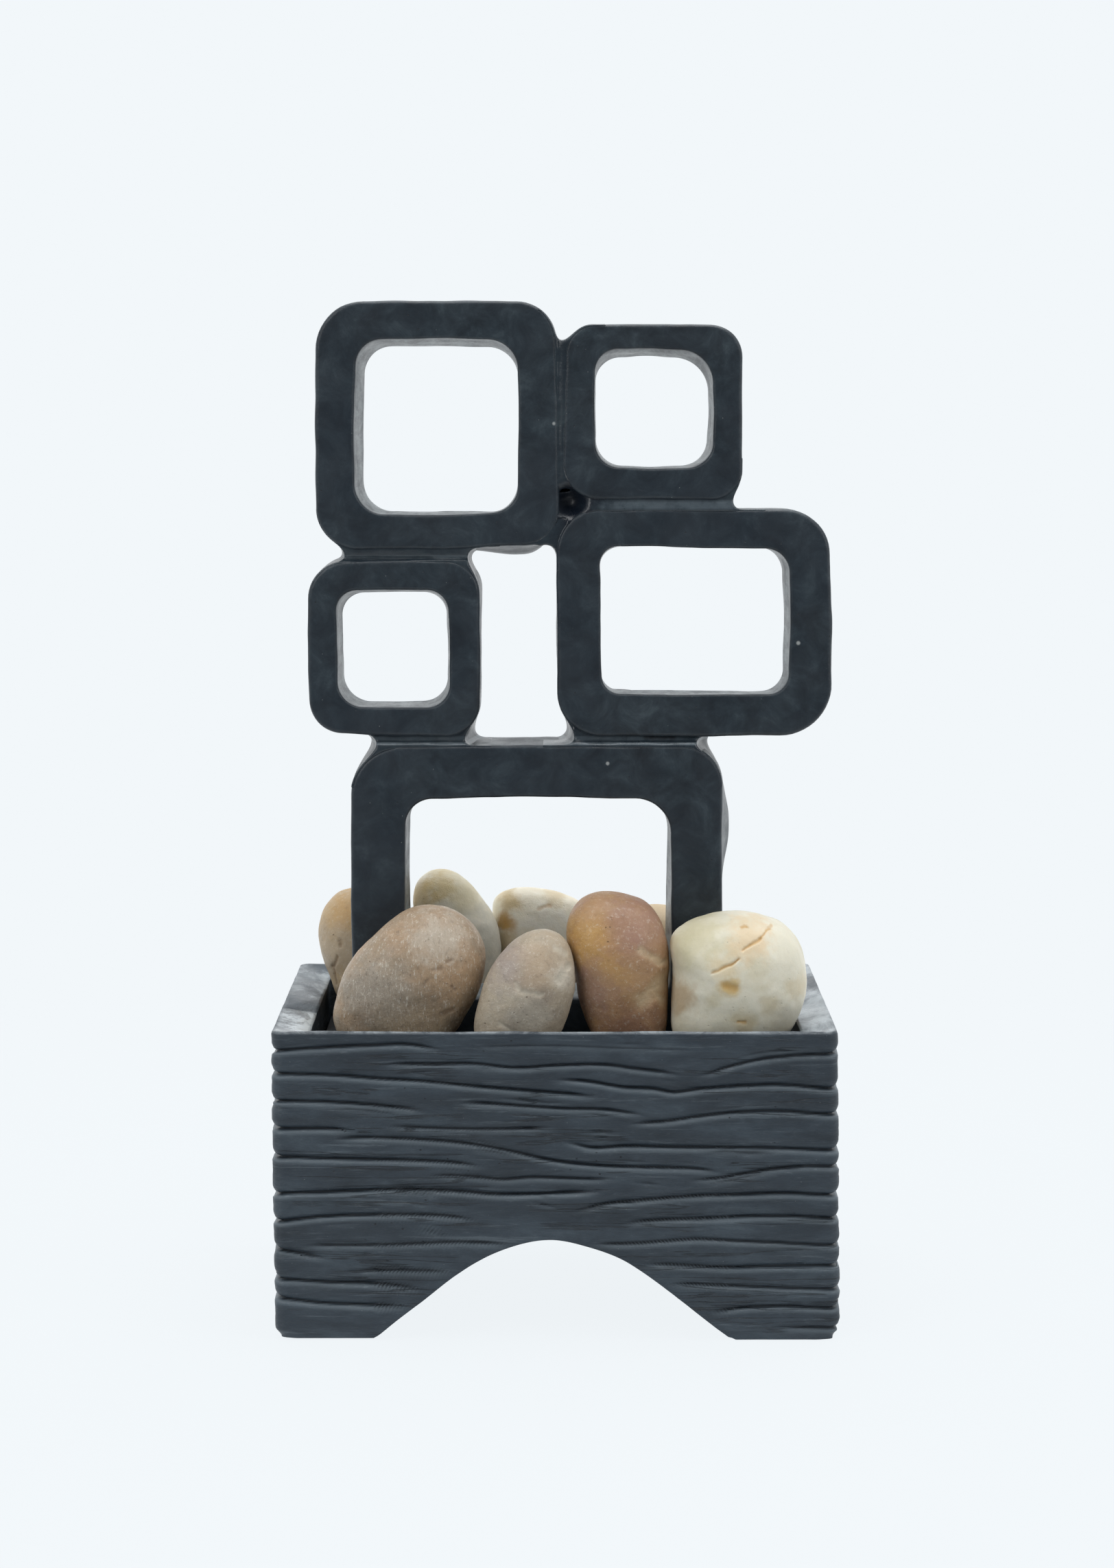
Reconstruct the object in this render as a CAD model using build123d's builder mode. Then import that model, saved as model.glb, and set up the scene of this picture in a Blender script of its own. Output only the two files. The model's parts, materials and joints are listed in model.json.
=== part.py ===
"""Tabletop water fountain: a slate-look basin, a sculpture of five open frames, river pebbles
and a small submersible pump.  Millimetres.  +X is right seen from the front, +Y is to the back,
+Z is up, and the origin is on the ground under the middle of the basin."""
import os

from build123d import *

os.makedirs("parts", exist_ok=True)

# ---------------------------------------------------------------- basin
basin_width = 140.0
basin_depth = 98.0
basin_bottom = 0.5                # the rubber pads hold it this far off the ground
rim_height = 78.0
corner_radius = 3.0
wall_thickness = 9.0
rim_fall = 2.2                    # the rim slopes down towards the water
floor_height = 31.0
floor_fillet = 4.0
well_radius = 8.0                 # vertical corners of the hollow
course_heights = [73.0, 66.0, 59.0, 52.5, 45.5, 37.3, 30.5, 23.2, 15.3, 9.6]
course_cut = 1.2                  # depth of the V between two slate courses
course_half_height = 1.3
arch_points = [(-33.4, 9.6), (-19.3, 20.0), (-1.0, 25.6), (17.5, 20.0), (31.8, 9.6)]
arch_left_foot = -41.5
arch_right_foot = 43.8
cord_notch_x = 52.0
cord_notch_width = 7.0
cord_notch_bottom = 69.0
pad_radius = 6.0
pad_height = 1.5
pad_x = 57.0
pad_y = 37.0
pad_clearance = 0.1
rim_lip = 1.5                     # flat left round the outside of the sloping rim
notch_headroom = 1.0

# ---------------------------------------------------------------- stone tray
tray_top = 66.0
tray_thickness = 3.0
tray_clearance = 0.6
tray_leg_radius = 3.0
tray_leg_x = 52.0
tray_leg_y = 32.0
tray_hose_hole_radius = 5.0
slot_length = 9.0
slot_width = 3.0
slot_columns = 8
slot_rows = 7
slot_pitch_x = 13.5
slot_pitch_y = 10.0

# ---------------------------------------------------------------- sculpture
frame_front = -10.0
frame_back = 12.0
frame_draft = 1.3                 # degrees, opens each window towards the front
front_rounding = 1.4
back_rounding = 1.8
window_allowance = 0.5            # the window at the back is this much smaller on each side
# left, right, bottom, top, then the window's left, right, bottom, top, then both corner radii
frame_sizes = {
    "frame_base": (-52.3, 42.9, tray_top, 144.2, -38.3, 30.0, 79.0, 130.8, 10.0, 6.0),
    "frame_lower_left": (-63.0, -18.7, 147.5, 191.6, -55.3, -26.9, 153.8, 183.8, 11.0, 6.0),
    "frame_lower_right": (0.4, 71.0, 146.6, 204.2, 11.5, 58.7, 157.5, 194.7, 11.0, 6.5),
    "frame_upper_left": (-60.4, 1.3, 193.1, 256.4, -48.4, -9.3, 203.3, 246.9, 11.0, 6.5),
    "frame_upper_right": (1.9, 47.1, 205.7, 250.3, 10.0, 38.8, 214.5, 244.7, 10.0, 5.5),
}
web_front = -4.0
web_back = 10.5
# left, right, bottom, top of the joint between two frames, before the frames are taken out of it
web_sizes = {
    "web_base_left": (-49.0, -25.0, 143.0, 149.0),
    "web_base_right": (5.0, 40.0, 143.0, 148.0),
    "web_left_side": (-56.0, -22.0, 190.5, 194.5),
    "web_top": (-0.5, 3.5, 212.0, 245.0),
    "web_right_side": (14.0, 44.0, 203.0, 207.0),
    "web_centre": (-3.0, 4.5, 193.6, 201.0),
}
cover_width = 8.8
cover_thickness = 2.0
cover_end = 193.8
pit_plug_size = (-4.0, 14.0, 194.0, 213.0)
pit_plug_lip = 0.8
pit_plug_radius = 3.0

# ---------------------------------------------------------------- hose and its channel
hose_y = 7.5
hose_radius = 3.5
hose_bore_radius = 2.5
hose_start = 58.0
hose_rise_x = 36.4
hose_turn_height = 152.0
hose_outlet_x = 6.0
hose_end = 203.0
hose_bends = [20.0, 10.0]
channel_width = 7.6
channel_overrun = 1.0             # the cut runs this far past the tray's top and the frames' backs
channel_beyond_hose = 8.0
cover_lift = 4.0                  # the cover starts this far above the tray
channel_front = 3.7

# ---------------------------------------------------------------- pump, its shaft along X
pump_y = hose_y
pump_z = 45.5
pump_nose = 30.0
pump_shoulder = 34.0
pump_back = 58.0
pump_width = 28.0
pump_height = 23.0
pump_step = 2.0                   # the nose is this much smaller all round
pump_radius = 3.0
pump_nose_radius = 1.5
chamber_radius = 8.5
chamber_end = 40.0
rotor_well_radius = 5.2
rotor_well_end = 55.0
rotor_well_wall = 1.2
motor_bay_start = 42.0
back_plate_thickness = 2.0
bay_wall = 2.0
shaft_radius = 1.0
running_clearance = 0.05
rotor_radius = 4.7
impeller_radius = 7.4
impeller_blades = 6
chamber_cover_radius = 9.0
chamber_cover_thickness = 2.0
intake_front = 17.0
intake_wall = 1.7
nozzle_radius = hose_bore_radius - running_clearance
nozzle_top = 65.5
outlet_bore_radius = 1.6
nozzle_flange = 0.8
gland_x = 50.0
gland_radius = 3.0
gland_length = 5.0
cord_hole_radius = 1.75
cup_height = 3.0
cup_radius = 4.2
cup_top_radius = 2.2
cup_x = (38.0, 53.0)
cup_y_offset = 8.5

# ---------------------------------------------------------------- pebbles
# centre, half sizes, then the lean about Y in degrees
pebble_shapes = {
    "pebble_front_left": ((-37.0, -22.7, 86.0), (19.4, 11.9, 19.0), 0.0),
    "pebble_front_centre": ((-7.9, -31.0, 83.4), (11.6, 8.0, 16.6), 12.0),
    "pebble_front_mid": ((15.9, -22.4, 87.7), (13.0, 11.6, 20.9), 0.0),
    "pebble_front_right": ((46.6, -25.0, 85.2), (16.4, 13.6, 18.4), 0.0),
    "pebble_back_left": ((-50.8, 26.0, 84.6), (10.4, 12.6, 18.0), -14.0),
    "pebble_back_tall": ((-26.6, 23.0, 87.2), (9.6, 10.0, 20.6), -20.0),
    "pebble_back_centre": ((-3.6, 31.0, 84.4), (12.8, 8.2, 17.5), 0.0),
    "pebble_back_right": ((25.5, 27.6, 82.2), (13.6, 11.6, 15.6), 0.0),
    "pebble_back_corner": ((50.6, 26.4, 79.2), (9.0, 12.4, 12.6), 0.0),
}


def write(piece, name):
    """Label a finished sub-part and write its STEP file."""
    piece.part.label = name
    export_step(piece.part, f"parts/{name}.step")


# ================================================================ basin
basin_height = rim_height - basin_bottom
well_width = basin_width - 2 * wall_thickness
well_depth = basin_depth - 2 * wall_thickness
notch_shoulder = cord_notch_bottom + cord_notch_width / 2
notch_open = rim_height + notch_headroom

with BuildPart() as basin:
    with BuildSketch(Plane.XY.offset(basin_bottom)):
        RectangleRounded(basin_width, basin_depth, corner_radius)
    extrude(amount=basin_height)
    # the slate courses, one V cut round the outside for each
    for course_height in course_heights:
        with BuildLine(Plane.XY.offset(course_height)) as course:
            FilletPolyline(
                (-basin_width / 2, -basin_depth / 2),
                (basin_width / 2, -basin_depth / 2),
                (basin_width / 2, basin_depth / 2),
                (-basin_width / 2, basin_depth / 2),
                radius=corner_radius,
                close=True,
            )
        with BuildSketch(Plane(origin=course.line @ 0, x_dir=(0, 0, 1), z_dir=course.line % 0)):
            Polygon(
                (-course_half_height, 0.0),
                (course_half_height, 0.0),
                (0.0, -course_cut),
                align=None,
            )
        sweep(path=course.line, mode=Mode.SUBTRACT)
    # the hollow and the sloping rim
    with BuildSketch(Plane.XY.offset(floor_height)):
        RectangleRounded(well_width, well_depth, well_radius)
    extrude(amount=rim_height - floor_height, mode=Mode.SUBTRACT)
    flat_faces = basin.faces().filter_by(Plane.XY)
    well_floor = flat_faces.filter_by_position(Axis.Z, floor_height - 0.1, floor_height + 0.1)
    fillet(well_floor.edges(), floor_fillet)
    with BuildSketch(Plane.XY.offset(rim_height - rim_fall)):
        RectangleRounded(well_width - 1.0, well_depth - 1.0, well_radius)
    with BuildSketch(Plane.XY.offset(rim_height)):
        RectangleRounded(basin_width - 2 * rim_lip, basin_depth - 2 * rim_lip, corner_radius)
    loft(mode=Mode.SUBTRACT)
    # the arch through the foot, front to back
    with BuildSketch(Plane.XZ) as arch:
        with BuildLine():
            Spline((arch_left_foot, 0.0), *arch_points, (arch_right_foot, 0.0))
            Line((arch_right_foot, 0.0), (arch_left_foot, 0.0))
        make_face()
    extrude(amount=basin_depth, both=True, mode=Mode.SUBTRACT)
    # notch in the back rim for the lead
    with BuildSketch(Plane.XZ.offset(-basin_depth)):
        with Locations((cord_notch_x, notch_shoulder)):
            Circle(cord_notch_width / 2)
        with Locations((cord_notch_x, (notch_shoulder + notch_open) / 2)):
            Rectangle(cord_notch_width, notch_open - notch_shoulder)
    extrude(amount=basin_depth / 2 + wall_thickness, mode=Mode.SUBTRACT)
    # recesses for the pads
    with BuildSketch(Plane.XY):
        with GridLocations(2 * pad_x, 2 * pad_y, 2, 2):
            Circle(pad_radius + pad_clearance)
    extrude(amount=pad_height, mode=Mode.SUBTRACT)
write(basin, "basin")

with BuildPart() as foot_pads:
    with BuildSketch(Plane.XY):
        with GridLocations(2 * pad_x, 2 * pad_y, 2, 2):
            Circle(pad_radius)
    extrude(amount=pad_height)
write(foot_pads, "foot_pads")

# ================================================================ stone tray
with BuildPart() as stone_tray:
    with BuildSketch(Plane.XY.offset(tray_top - tray_thickness)):
        RectangleRounded(
            well_width - 2 * tray_clearance,
            well_depth - 2 * tray_clearance,
            well_radius - tray_clearance,
        )
        with GridLocations(slot_pitch_x, slot_pitch_y, slot_columns, slot_rows):
            SlotOverall(slot_length, slot_width, mode=Mode.SUBTRACT)
        with Locations((hose_rise_x, hose_y)):
            Circle(tray_hose_hole_radius, mode=Mode.SUBTRACT)
        # way out for the lead, at the back edge
        with Locations((cord_notch_x, well_depth / 2)):
            Rectangle(cord_notch_width, 2 * cord_notch_width, mode=Mode.SUBTRACT)
    extrude(amount=tray_thickness)
    with BuildSketch(Plane.XY.offset(floor_height)):
        with GridLocations(2 * tray_leg_x, 2 * tray_leg_y, 2, 2):
            Circle(tray_leg_radius)
    extrude(amount=tray_top - tray_thickness - floor_height)
write(stone_tray, "stone_tray")

# ================================================================ hose, channel and its cover
hose_plane = Plane.XZ.offset(-hose_y)


def hose_line(start, end, plane):
    """The hose's centre line between two heights, two runs upright and one across."""
    with BuildLine(plane) as line:
        FilletPolyline(
            (hose_rise_x, start),
            (hose_rise_x, hose_turn_height),
            (hose_outlet_x, hose_turn_height),
            (hose_outlet_x, end),
            radius=hose_bends,
        )
    return line


route = hose_line(hose_start, hose_end, hose_plane)
with BuildPart() as riser_hose:
    with BuildSketch(Plane.XY.offset(hose_start)):
        with Locations((hose_rise_x, hose_y)):
            Circle(hose_radius)
            Circle(hose_bore_radius, mode=Mode.SUBTRACT)
    sweep(path=route.wire())
write(riser_hose, "riser_hose")
print("hose length", round(route.wire().length, 1), "bends", hose_bends)

channel_back = frame_back + channel_overrun
channel_route = hose_line(tray_top - channel_overrun, hose_end + channel_beyond_hose, hose_plane)
with BuildPart() as channel:
    with BuildSketch(Plane.XY.offset(tray_top - channel_overrun)):
        with Locations((hose_rise_x, (channel_front + channel_back) / 2)):
            Rectangle(channel_width, channel_back - channel_front)
    sweep(path=channel_route.wire())

cover_foot = tray_top + cover_lift
cover_route = hose_line(cover_foot, cover_end, hose_plane)
with BuildPart() as channel_cover:
    with BuildSketch(Plane.XY.offset(cover_foot)):
        with Locations((hose_rise_x, frame_back + cover_thickness / 2)):
            Rectangle(cover_width, cover_thickness)
    sweep(path=cover_route.wire())
write(channel_cover, "channel_cover")

# ================================================================ frames


def cast_frame(left, right, bottom, top, in_left, in_right, in_bottom, in_top, r_out, r_in):
    """One open cast frame, its window a little wider at the front, with rounded edges."""
    depth = frame_back - frame_front
    with BuildPart() as frame:
        with BuildSketch(Plane.XZ.offset(-frame_back)):
            with Locations(((left + right) / 2, (bottom + top) / 2)):
                RectangleRounded(right - left, top - bottom, r_out)
        extrude(amount=depth)
        with BuildSketch(Plane.XZ.offset(-frame_back)):
            with Locations(((in_left + in_right) / 2, (in_bottom + in_top) / 2)):
                RectangleRounded(
                    in_right - in_left - 2 * window_allowance,
                    in_top - in_bottom - 2 * window_allowance,
                    r_in,
                )
        extrude(amount=depth, taper=-frame_draft, mode=Mode.SUBTRACT)
        fillet(frame.faces().sort_by(Axis.Y)[0].edges(), front_rounding)
        fillet(frame.faces().sort_by(Axis.Y)[-1].edges(), back_rounding)
        if left <= hose_rise_x <= right and top <= frame_sizes["frame_lower_right"][3]:
            add(channel.part, mode=Mode.SUBTRACT)
    return frame


frames = {name: cast_frame(*size) for name, size in frame_sizes.items()}
for name, frame in frames.items():
    write(frame, name)


def cast_web(left, right, bottom, top):
    """The recessed resin that joins two frames: a block less the frames and the hose channel."""
    with BuildPart() as web:
        with BuildSketch(Plane.XZ.offset(-web_back)):
            with Locations(((left + right) / 2, (bottom + top) / 2)):
                Rectangle(right - left, top - bottom)
        extrude(amount=web_back - web_front)
        for neighbour in frames.values():
            add(neighbour.part, mode=Mode.SUBTRACT)
        add(channel.part, mode=Mode.SUBTRACT)
    return web


for name, size in web_sizes.items():
    write(cast_web(*size), name)

plug_left, plug_right, plug_bottom, plug_top = pit_plug_size
with BuildPart() as pit_plug:
    with BuildSketch(Plane.XZ.offset(-frame_back - cover_thickness)):
        with Locations(((plug_left + plug_right) / 2, (plug_bottom + plug_top) / 2)):
            RectangleRounded(plug_right - plug_left, plug_top - plug_bottom, pit_plug_radius)
    extrude(amount=cover_thickness + pit_plug_lip)
    for neighbour in frames.values():
        add(neighbour.part, mode=Mode.SUBTRACT)
write(pit_plug, "pit_plug")

# ================================================================ pump
pump_high = pump_z + pump_height / 2


def across(x):
    """A plane square to the pump's shaft: local x is +Y, local y is +Z, and it faces +X."""
    return Plane(origin=(x, pump_y, pump_z), x_dir=(0, 1, 0), z_dir=(1, 0, 0))


bay_width = pump_width - 2 * bay_wall
bay_height = pump_height - 2 * bay_wall
with BuildPart() as pump_housing:
    with BuildSketch(across(pump_shoulder)):
        RectangleRounded(pump_width, pump_height, pump_radius)
    extrude(amount=pump_back - pump_shoulder)
    with BuildSketch(across(pump_nose)):
        RectangleRounded(pump_width - 2 * pump_step, pump_height - 2 * pump_step, pump_nose_radius)
    extrude(amount=pump_shoulder - pump_nose)
    with BuildSketch(across(motor_bay_start)):
        Rectangle(bay_width, bay_height)
        Circle(rotor_well_radius + rotor_well_wall, mode=Mode.SUBTRACT)
    extrude(amount=rotor_well_end + rotor_well_wall - motor_bay_start, mode=Mode.SUBTRACT)
    with BuildSketch(across(rotor_well_end + rotor_well_wall)):
        Rectangle(bay_width, bay_height)
    extrude(amount=pump_back, mode=Mode.SUBTRACT)
    with BuildSketch(across(pump_nose)):
        Circle(chamber_radius)
    extrude(amount=chamber_end - pump_nose, mode=Mode.SUBTRACT)
    with BuildSketch(across(chamber_end)):
        Circle(rotor_well_radius)
    extrude(amount=rotor_well_end - chamber_end, mode=Mode.SUBTRACT)
    with BuildSketch(Plane.XY.offset(pump_z)):
        with Locations((hose_rise_x, hose_y)):
            Circle(outlet_bore_radius)
    extrude(amount=pump_height, mode=Mode.SUBTRACT)
write(pump_housing, "pump_housing")

with BuildPart() as pump_back_plate:
    with BuildSketch(across(rotor_well_end + rotor_well_wall)):
        Rectangle(bay_width, bay_height)
    extrude(amount=pump_back - rotor_well_end - rotor_well_wall)
write(pump_back_plate, "pump_back_plate")

core_start = 45.0
core_end = 51.5
arm_inner = rotor_well_radius + rotor_well_wall + 0.2
arm_outer = bay_height / 2 - 0.3
arm_reach = 5.0
yoke_outer = -bay_width / 2 + 0.8
yoke_inner = yoke_outer + 2.6
with BuildPart() as stator_core:
    with BuildSketch(across(core_start)):
        with BuildLine():
            Polyline(
                (yoke_outer, -arm_outer),
                (arm_reach, -arm_outer),
                (arm_reach, -arm_inner),
                (yoke_inner, -arm_inner),
                (yoke_inner, arm_inner),
                (arm_reach, arm_inner),
                (arm_reach, arm_outer),
                (yoke_outer, arm_outer),
                close=True,
            )
        make_face()
    extrude(amount=core_end - core_start)
write(stator_core, "stator_core")

coil_margin = 1.4
coil_end_gap = 0.6
with BuildPart() as stator_coil:
    with BuildSketch(Plane.XY.offset(pump_z)) as coil_section:
        with Locations(((core_start + core_end) / 2, pump_y + (yoke_outer + yoke_inner) / 2)):
            Rectangle(core_end - core_start + 2 * coil_margin, yoke_inner - yoke_outer + coil_margin)
            Rectangle(core_end - core_start, yoke_inner - yoke_outer, mode=Mode.SUBTRACT)
    extrude(amount=arm_inner - coil_end_gap, both=True)
write(stator_coil, "stator_coil")

rear_bush_length = 1.4
rear_bush_radius = 3.0
with BuildPart() as rear_bush:
    with BuildSketch(across(rotor_well_end - rear_bush_length)):
        Circle(rear_bush_radius)
        Circle(shaft_radius, mode=Mode.SUBTRACT)
    extrude(amount=rear_bush_length)
write(rear_bush, "rear_bush")

front_bush_radius = 1.9
front_bush_start = 28.4
shaft_start = 28.8
with BuildPart() as front_bush:
    with BuildSketch(across(front_bush_start)):
        Circle(front_bush_radius)
    extrude(amount=pump_nose - front_bush_start)
    with BuildSketch(across(shaft_start)):
        Circle(shaft_radius)
    extrude(amount=pump_nose - shaft_start, mode=Mode.SUBTRACT)
write(front_bush, "front_bush")

with BuildPart() as rotor_shaft:
    with BuildSketch(across(shaft_start)):
        Circle(shaft_radius)
    extrude(amount=rotor_well_end - shaft_start)
write(rotor_shaft, "rotor_shaft")

rotor_start = 40.6
rotor_end = 53.0
with BuildPart() as magnet_rotor:
    with BuildSketch(across(rotor_start)):
        Circle(rotor_radius)
        Circle(shaft_radius + running_clearance, mode=Mode.SUBTRACT)
    extrude(amount=rotor_end - rotor_start)
write(magnet_rotor, "magnet_rotor")

blade_start = 31.0
blade_end = 37.0
blade_disc_end = 38.2
blade_thickness = 1.0
hub_radius = 2.8
blade_length = impeller_radius - 0.6
blade_middle = impeller_radius / 2 + 0.2
with BuildPart() as impeller:
    with BuildSketch(across(blade_start)):
        Circle(hub_radius)
    extrude(amount=rotor_start - blade_start)
    with BuildSketch(across(blade_end)):
        Circle(impeller_radius)
    extrude(amount=blade_disc_end - blade_end)
    with BuildSketch(across(blade_start)):
        with PolarLocations(blade_middle, impeller_blades):
            Rectangle(blade_length, blade_thickness)
    extrude(amount=blade_end - blade_start)
    with BuildSketch(across(blade_start)):
        Circle(shaft_radius + running_clearance)
    extrude(amount=rotor_start - blade_start, mode=Mode.SUBTRACT)
write(impeller, "impeller")

intake_holes = 6
intake_hole_radius = 1.4
intake_hole_ring = 5.2
with BuildPart() as chamber_cover:
    with BuildSketch(across(pump_nose - chamber_cover_thickness)):
        Circle(chamber_cover_radius)
        with PolarLocations(intake_hole_ring, intake_holes):
            Circle(intake_hole_radius, mode=Mode.SUBTRACT)
    extrude(amount=chamber_cover_thickness)
    with BuildSketch(across(front_bush_start)):
        Circle(front_bush_radius)
    extrude(amount=chamber_cover_thickness, mode=Mode.SUBTRACT)
write(chamber_cover, "chamber_cover")

cover_gap = 0.3
intake_slots = 7
intake_slot_pitch = 3.2
intake_slot_length = 10.0
intake_slot_width = 1.5
intake_inner_radius = 1.2
rail_reach = 1.9
rail_inner = 5.8
rail_height = 1.5
rail_length = pump_width - 6.0
rail_lip = 1.0
rail_lip_thickness = 0.9
with BuildPart() as intake_cover:
    with BuildSketch(across(intake_front)):
        RectangleRounded(pump_width, pump_height, pump_radius)
    extrude(amount=pump_shoulder - cover_gap - intake_front)
    with BuildSketch(across(intake_front + intake_wall)):
        RectangleRounded(pump_width - 2 * intake_wall, pump_height - 2 * intake_wall, intake_inner_radius)
    extrude(amount=pump_shoulder, mode=Mode.SUBTRACT)
    with BuildSketch(across(intake_front)):
        with GridLocations(intake_slot_pitch, 0, intake_slots, 1):
            SlotOverall(intake_slot_length, intake_slot_width, rotation=90)
    extrude(amount=intake_wall, mode=Mode.SUBTRACT)
    # two rails with lips hold the flow slider
    with BuildSketch(across(intake_front - rail_reach)):
        with GridLocations(0, 2 * rail_inner + rail_height, 1, 2):
            Rectangle(rail_length, rail_height)
    extrude(amount=rail_reach)
    with BuildSketch(across(intake_front - rail_reach - rail_lip_thickness)):
        with GridLocations(0, 2 * rail_inner + rail_height - rail_lip, 1, 2):
            Rectangle(rail_length, rail_height + rail_lip)
    extrude(amount=rail_lip_thickness)
write(intake_cover, "intake_cover")

foam_gap = 0.1
foam_thickness = 7.0
foam_width = pump_width - 2 * intake_wall - 2 * foam_gap
foam_height = pump_height - 2 * intake_wall - 2 * foam_gap
with BuildPart() as foam_filter:
    with BuildSketch(across(intake_front + intake_wall + foam_gap)):
        RectangleRounded(foam_width, foam_height, intake_inner_radius - foam_gap)
    extrude(amount=foam_thickness)
write(foam_filter, "foam_filter")

slider_thickness = 1.2
slider_width = 11.0
slider_y = -5.0
slider_knob = (6.0, 3.0, 1.0)     # width, height and corner radius of its grip
slider_knob_reach = 2.4
with BuildPart() as flow_slider:
    with BuildSketch(across(intake_front - cover_gap - slider_thickness)):
        with Locations((slider_y, 0)):
            Rectangle(slider_width, 2 * (rail_inner - cover_gap))
    extrude(amount=slider_thickness)
    with BuildSketch(across(intake_front - cover_gap - slider_thickness - slider_knob_reach)):
        with Locations((slider_y, 0)):
            RectangleRounded(*slider_knob)
    extrude(amount=slider_knob_reach)
write(flow_slider, "flow_slider")

with BuildPart() as outlet_nozzle:
    with BuildSketch(Plane.XY.offset(pump_high)):
        with Locations((hose_rise_x, hose_y)):
            Circle(hose_radius)
    extrude(amount=nozzle_flange)
    with BuildSketch(Plane.XY.offset(pump_high)):
        with Locations((hose_rise_x, hose_y)):
            Circle(nozzle_radius)
    extrude(amount=nozzle_top - pump_high)
    with BuildSketch(Plane.XY.offset(pump_high)):
        with Locations((hose_rise_x, hose_y)):
            Circle(outlet_bore_radius)
    extrude(amount=nozzle_top - pump_high, mode=Mode.SUBTRACT)
write(outlet_nozzle, "outlet_nozzle")

with BuildPart() as cord_gland:
    with BuildSketch(Plane.XZ.offset(-pump_y - pump_width / 2 - gland_length)):
        with Locations((gland_x, pump_z)):
            Circle(gland_radius)
            Circle(cord_hole_radius, mode=Mode.SUBTRACT)
    extrude(amount=gland_length)
write(cord_gland, "cord_gland")

with BuildPart() as suction_cups:
    for cup_place_x in cup_x:
        for side in (-1, 1):
            with BuildSketch(Plane.XY.offset(floor_height)):
                with Locations((cup_place_x, pump_y + side * cup_y_offset)):
                    Circle(cup_radius)
            with BuildSketch(Plane.XY.offset(floor_height + cup_height)):
                with Locations((cup_place_x, pump_y + side * cup_y_offset)):
                    Circle(cup_top_radius)
            loft()
write(suction_cups, "suction_cups")

# ================================================================ pebbles


def pebble(centre, half_sizes, lean):
    """A river pebble as a leaning ellipsoid."""
    with BuildPart() as stone:
        ball = scale(Sphere(1.0, mode=Mode.PRIVATE), by=half_sizes, mode=Mode.PRIVATE)
        add(Location(centre, (0, lean, 0)) * ball)
    return stone


for name, shape in pebble_shapes.items():
    write(pebble(*shape), name)
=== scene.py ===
"""Looks for the tabletop water fountain: slate-look basin, five cast frames, river pebbles, tray and pump."""
import itertools
import json
import math

import bpy
import numpy as np
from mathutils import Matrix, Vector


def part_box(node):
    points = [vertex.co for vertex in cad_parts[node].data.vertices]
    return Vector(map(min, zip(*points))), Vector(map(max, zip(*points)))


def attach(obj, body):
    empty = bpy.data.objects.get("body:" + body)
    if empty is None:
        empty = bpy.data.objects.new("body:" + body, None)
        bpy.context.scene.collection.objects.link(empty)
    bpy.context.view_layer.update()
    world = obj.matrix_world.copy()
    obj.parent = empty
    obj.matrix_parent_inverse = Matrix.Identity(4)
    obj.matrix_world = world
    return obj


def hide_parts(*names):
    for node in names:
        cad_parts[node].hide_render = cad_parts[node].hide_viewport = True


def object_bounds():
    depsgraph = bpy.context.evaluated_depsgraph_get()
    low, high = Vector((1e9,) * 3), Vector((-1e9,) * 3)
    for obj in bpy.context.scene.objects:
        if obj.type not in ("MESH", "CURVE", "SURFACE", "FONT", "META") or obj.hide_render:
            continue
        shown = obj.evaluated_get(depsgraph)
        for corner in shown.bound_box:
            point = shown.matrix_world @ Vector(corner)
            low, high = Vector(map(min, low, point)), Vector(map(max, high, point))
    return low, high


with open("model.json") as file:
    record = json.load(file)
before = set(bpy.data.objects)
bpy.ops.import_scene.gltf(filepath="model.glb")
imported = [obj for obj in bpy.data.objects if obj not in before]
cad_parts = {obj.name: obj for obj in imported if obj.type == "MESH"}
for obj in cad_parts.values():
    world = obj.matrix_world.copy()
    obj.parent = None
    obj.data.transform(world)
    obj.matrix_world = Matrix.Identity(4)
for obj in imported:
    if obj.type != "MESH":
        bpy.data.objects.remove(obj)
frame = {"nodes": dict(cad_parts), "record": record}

import openvdb as vdb
from mathutils import Vector

MM = 0.001                        # lengths below are in millimetres, the scene is in metres
PALE = (0.888, 0.929, 0.956, 1)   # the studio behind the fountain and the floor under it
PIT = (3.6, 206.0)                # the hollow where three frames meet, where the water comes out
cad_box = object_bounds()
record = frame["record"]


def node_box(name):
    """A CAD node's lowest and highest corners, in millimetres."""
    low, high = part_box(name)
    return np.array(low) / MM, np.array(high) / MM


# ------------------------------------------------------------------ mesh and noise helpers


def noise(points, size, seed, octaves=3):
    """Smooth noise from about -1 to 1 at points, its largest lumps 'size' across (one number or three)."""
    total = np.zeros(len(points))
    for octave in range(octaves):
        table = np.random.default_rng(seed + octave).uniform(-1, 1, (32, 32, 32))
        place = points / np.asarray(size, float) * 2 ** octave + 7.31 * octave
        cell = np.floor(place).astype(int)
        part = place - cell
        part = part * part * (3 - 2 * part)
        for corner in itertools.product((0, 1), repeat=3):
            weight = np.prod(np.where(corner, part, 1 - part), axis=1)
            index = (cell + corner) % 32
            total += weight * table[index[:, 0], index[:, 1], index[:, 2]] / 2 ** octave
    return total


def smooth_curve(points, at):
    """Heights at 'at' of a smooth curve through (x, height) points whose x only grows."""
    x, z = np.array(points, float).T
    slope = np.gradient(z, x) if len(x) > 2 else np.full(len(x), (z[-1] - z[0]) / (x[-1] - x[0]))
    at = np.clip(at, x[0], x[-1])
    i = np.clip(np.searchsorted(x, at) - 1, 0, len(x) - 2)
    step = x[i + 1] - x[i]
    t = (at - x[i]) / step
    return (z[i] * (1 + 2 * t) * (1 - t) ** 2 + slope[i] * step * t * (1 - t) ** 2
            + z[i + 1] * t * t * (3 - 2 * t) + slope[i + 1] * step * t * t * (t - 1))


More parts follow.
